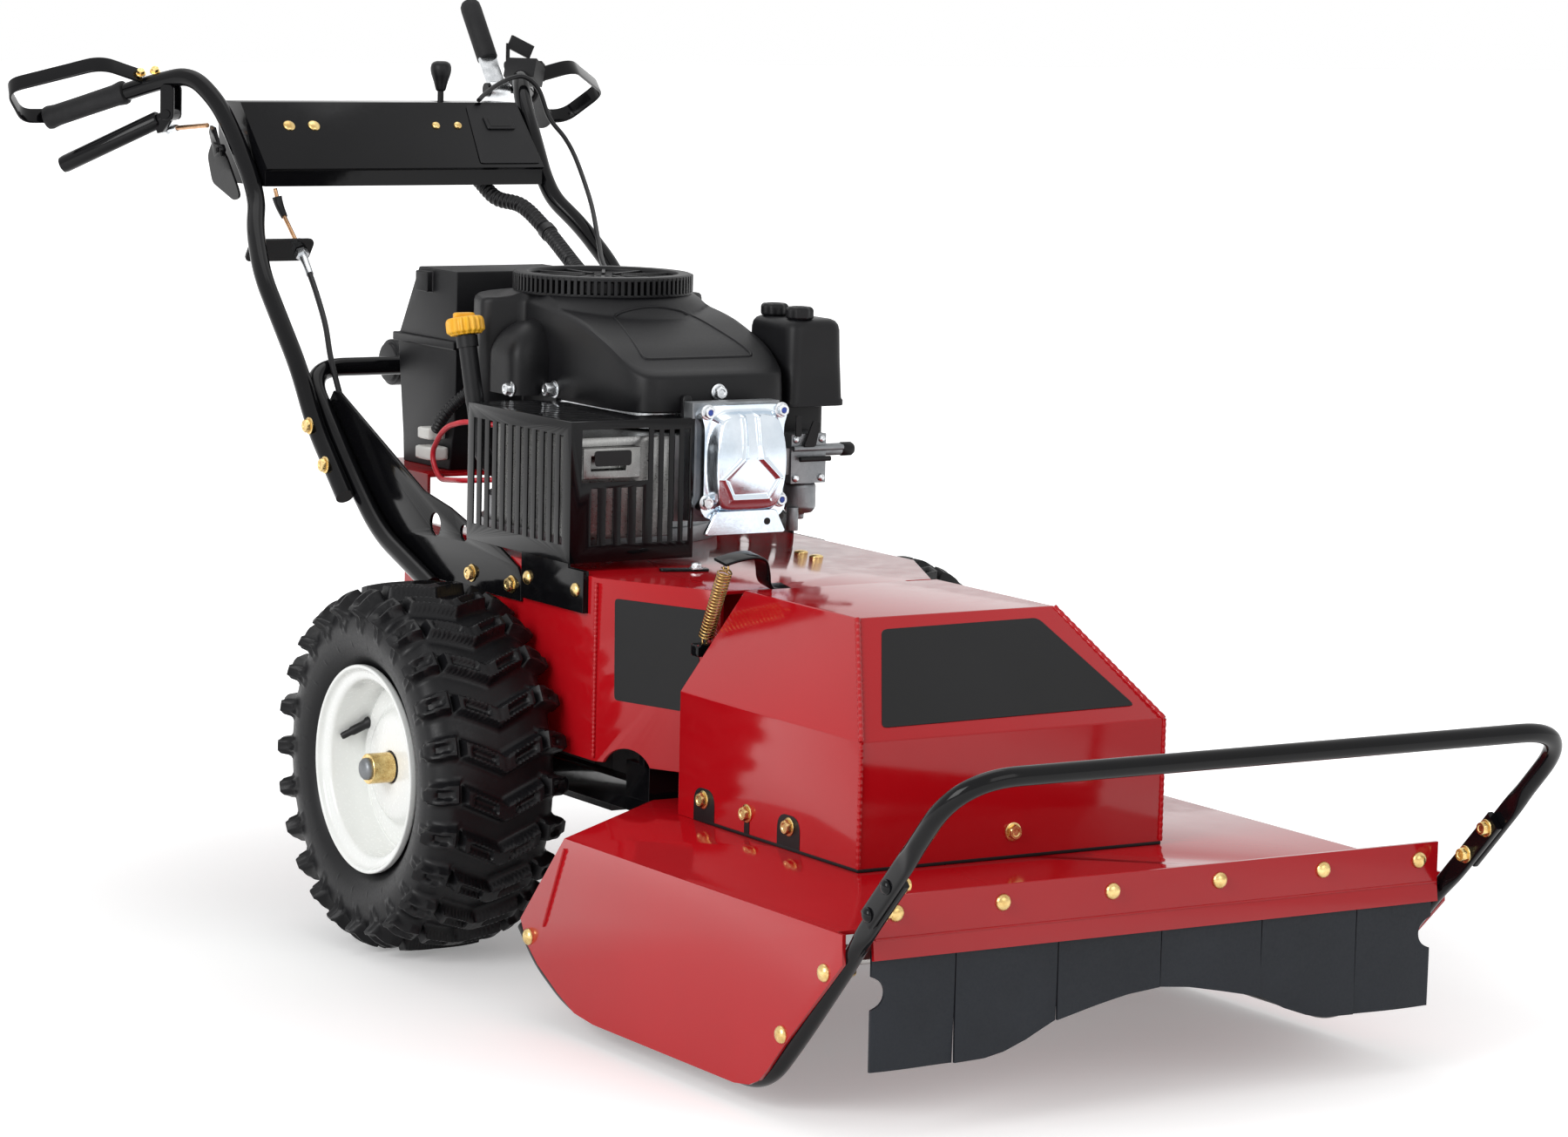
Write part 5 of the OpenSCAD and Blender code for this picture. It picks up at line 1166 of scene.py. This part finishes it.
def flap_shape(number):
    """Rubber flap: a grid from its top edge down to its cut edge, its outer side notched by a circle.

    The cut of a right flap mirrors that of its left partner. The face bows forward a little with the depth
    below the flange, and the back is the same grid moved by the thickness.
    """
    across = np.linspace(0, 1, 40)[:, None]
    down = np.linspace(0, 1, 48)[None, :]
    partner = min(number, FLAPS + 1 - number)
    share, rise = np.array(FLAP_CUT[partner - 1], float).T
    low = FLAP_LOW + np.interp(across if number == partner else 1 - across, share, rise)
    z = FLAP_TOP + (low - FLAP_TOP) * down
    bite = np.sqrt(np.clip(BITE_R ** 2 - (z - BITE_Z) ** 2, 0, None))
    left = FLAP_X[number - 1] + 0.6 + (bite if number == 1 else 0)
    right = FLAP_X[number] - 0.6 - (bite if number == FLAPS else 0)
    x = left + (right - left) * across
    bow = 1.6 * down ** 2 * np.cos((across - 0.5) * np.pi * 1.4 + number)
    front = np.stack(np.broadcast_arrays(x, FLANGE_Y + 4.7 - bow, z), axis=-1)
    rear = front + (0, FLAP_THICK, 0)
    sheet = np.concatenate([front, rear[:, ::-1]], axis=1)
    ends = 0.5 * (sheet[[0, -1]] + sheet[[0, -1], ::-1])
    return grid_shape(np.concatenate([ends[:1], sheet, ends[1:]]), wrap_cols=True)


for number in range(1, FLAPS + 1):
    tag = str(number)
    make("rubber_flap_" + tag, flap_shape(number), flap_rubber, "flap" + tag, "flap_" + tag)

# spring

SPRING_A = np.array([-149.0, 54, 384])
SPRING_B = np.array([-146.0, 14, 475])
SPRING_TURNS = 22
SPRING_R = 7.3
HOOK_R = 4.5
WIRE_R = 1.1


def spring_path():
    """Helix between two hooks: its points go along the axis with the turn, and each hook is a flat arc."""
    along = unit(SPRING_B - SPRING_A)
    long = np.linalg.norm(SPRING_B - SPRING_A)
    first, second = side_directions(along)
    turn = np.linspace(0, SPRING_TURNS * 2 * np.pi, SPRING_TURNS * 18)[:, None]
    advance = np.linspace(2 * HOOK_R, long - 2 * HOOK_R, len(turn))[:, None]
    coil = SPRING_A + advance * along + SPRING_R * (np.cos(turn) * first + np.sin(turn) * second)
    bend = np.linspace(-0.6, 1.35, 14)[:, None] * np.pi
    low = SPRING_A + HOOK_R * along + HOOK_R * (np.cos(bend) * -along + np.sin(bend) * first)
    high = SPRING_B - HOOK_R * along + HOOK_R * (np.cos(bend) * along + np.sin(bend) * first)
    return np.concatenate([low, coil, high[::-1]])


spring = carried(spring_path(), circle(WIRE_R, 8), unit(SPRING_B - SPRING_A))
make("wound_spring", spring, spring_wire, node="tension_spring", sharp=80)

# cables and leads

DRIVE = [(-172, 1062, 812), (-168, 1056, 790), (-166, 1030, 764), (-165, 1003, 739), (-168, 972, 714),
         (-174, 938, 689), (-183, 897, 657), (-193, 862, 622), (-196, 834, 586), (-197, 812, 557),
         (-195, 783, 520), (-192, 756, 492), (-190, 728, 462), (-188, 707, 432), (-178, 680, 395),
         (-150, 655, 350), (-126, 638, 326), (-100, 612, 295), (-75, 560, 258), (-54, 530, 226),
         (-50, 515, 216), (-50, 502.3, 216)]
THROTTLE = [(136, 1112, 918), (152, 1124, 926), (177, 1140, 936), (204, 1150, 945), (222, 1146, 946),
            (240, 1143, 930), (253, 1138, 895), (264, 1116, 870), (265, 1090, 847), (256, 1046, 814),
            (241, 1000, 786), (216, 940, 752), (190, 880, 726), (168, 800, 704), (150, 720, 688),
            (137, 660, 676), (128, 624, 668)]
LOOM = [(124, 1092, 822), (134, 1058, 798), (150, 1020, 790), (158, 972, 764), (156, 900, 728),
        (146, 840, 706), (138, 760, 660), (126, 700, 620), (107, 660, 590)]
LEAD = [(-119.2, 566, 566), (-150, 597, 570), (-146, 660, 556), (-142, 698, 521), (-142, 678, 493),
        (-150, 600, 500), (-119.4, 566, 504)]
SMALL_LOOM = [(-95, 660, 612), (-104, 672, 598), (-116, 690, 580), (-124, 704, 562), (-126, 716, 546)]
TIE_Y = 966

drive_line = flowing(DRIVE, 200)


def on_drive(count, start, end, radius, sides):
    """Tube along the drive cable's line, from one share of its length to another."""
    return carried(spaced(drive_line, count, start, end), circle(radius, sides))


drive_boot = on_drive(12, 0.012, 0.045, np.linspace(6.2, 4.2, 12), 16)
drive_fitting = join(on_drive(10, 0.105, 0.16, np.linspace(5.6, 4.6, 10), 16),
                     on_drive(4, 0.095, 0.1065, 8.6, 6), on_drive(4, 0.113, 0.122, 8.6, 6))
loom_line = flowing(LOOM, 480)
tie_line = loom_line[np.abs(loom_line[:, 1] - TIE_Y) < 6]
throttle_sheath = carried(flowing(THROTTLE, 180), circle(3, 14))
lead = carried(spaced(rounded(LEAD, 34, 12), 150), circle(3.2, 14), (1.0, 0.3, 0.1))
connectors = join(soft_box((-121.2, 736, 518), (12.8, 20, 8), 9),
                  soft_box((-120.2, 739, 541), (11.8, 15, 7), 9))
make("drive_cable_sheath", on_drive(160, 0.13, 1.0, 3.6, 14), cable_black, node="drive_cable")
make("drive_cable_rod", on_drive(16, 0.0, 0.115, 2.6, 12), copper)
make("drive_cable_boot", drive_boot, cable_black)
make("drive_cable_fitting", drive_fitting, plain_zinc)
make("throttle_cable_sheath", throttle_sheath, cable_black, node="throttle_cable")
make("ribbed_loom", ribbed(loom_line, 8.8, 1.2, 6.6, 20), cable_black, node="loom", sharp=60)
make("loom_tie", carried(tie_line, circle(11.2, 24)), cable_black)
make("connector_sleeve", ribbed(flowing(SMALL_LOOM, 120), 6.4, 0.9, 5.0, 18), cable_black, sharp=60)
make("starter_lead", lead, lead_red, node="starter_wire")
make("lead_connectors", connectors, connector_white)

# bolts

PLATE_BOLTS = [(-209, 466, 412), (-209, 372, 411), (-254.1, 793, 548.5), (-254.1, 750, 506.6)]
MUFFLER_BOLTS = [(-212, 330, 424), (-212, 222, 424)]
FACE_BOLTS = ([(-140, 1090, 887), (-106, 1090, 887)], 16), ([(64, 1090, 887), (95, 1090, 887)], 11)
TOP_BOLTS = [(120, 292, CHASSIS_TOP), (116, 253, CHASSIS_TOP)]
SKIRT_BOLTS = [(-DECK_X, 39, 88), (-DECK_X, -540, 163), (-DECK_X, -466, 88)]
COVER_SIDE_BOLTS = [(-COVER_X, y, 230) for y in (-17, -105, -188)]
FLANGE_BOLTS = [(x, FLANGE_Y, 225) for x in (-315, -193, -64.5, 64.5, 193, 315)]
TAB_SLOPE = math.radians(46.5)
TAB_RUN = [(-600 - d * math.cos(TAB_SLOPE), 216 + d * math.sin(TAB_SLOPE)) for d in (24, 68)]
SKIRT_NUTS = [(-340.8, -540, 163), (-340.8, -466, 88)]

face_bolts = [heads(dome_head, places, FACE_NORMAL, across, 4) for places, across in FACE_BOLTS]
plate_bolts = mirrored(heads(hex_head, PLATE_BOLTS, LEFT, 14, 7))
muffler_bolts = heads(dome_head, MUFFLER_BOLTS, LEFT, 16, 5)
top_bolts = heads(dome_head, TOP_BOLTS, UP, 16, 3)
tab_heads = heads(dome_head, [(-366.5, y, z) for y, z in TAB_RUN], LEFT, 15, 5)
tab_nuts = heads(hex_head, [(-SKID_X, y, z) for y, z in TAB_RUN], RIGHT, 12.5, 8)
side_bolts = mirrored(heads(dome_head, SKIRT_BOLTS, LEFT, 18, 6),
                      heads(hex_head, COVER_SIDE_BOLTS, LEFT, 13.5, 7))
front_bolts = join(heads(dome_head, FLANGE_BOLTS, AHEAD, 17, 6), hex_head((0, COVER_Y, 233), AHEAD, 13.5, 7))
make("body_bolt_set", join(plate_bolts, muffler_bolts, *face_bolts, top_bolts), zinc, node="body_bolts")
make("tab_bolt_heads", mirrored(tab_heads), black_paint, "mowing_deck")
make("tab_nuts", mirrored(tab_nuts, heads(hex_head, SKIRT_NUTS, RIGHT, 13, 9)), zinc, "mowing_deck")
make("deck_bolt_set", join(side_bolts, front_bolts), zinc, "mowing_deck", "deck_bolts")

# end

scene = bpy.context.scene
scene.view_settings.view_transform = "Standard"
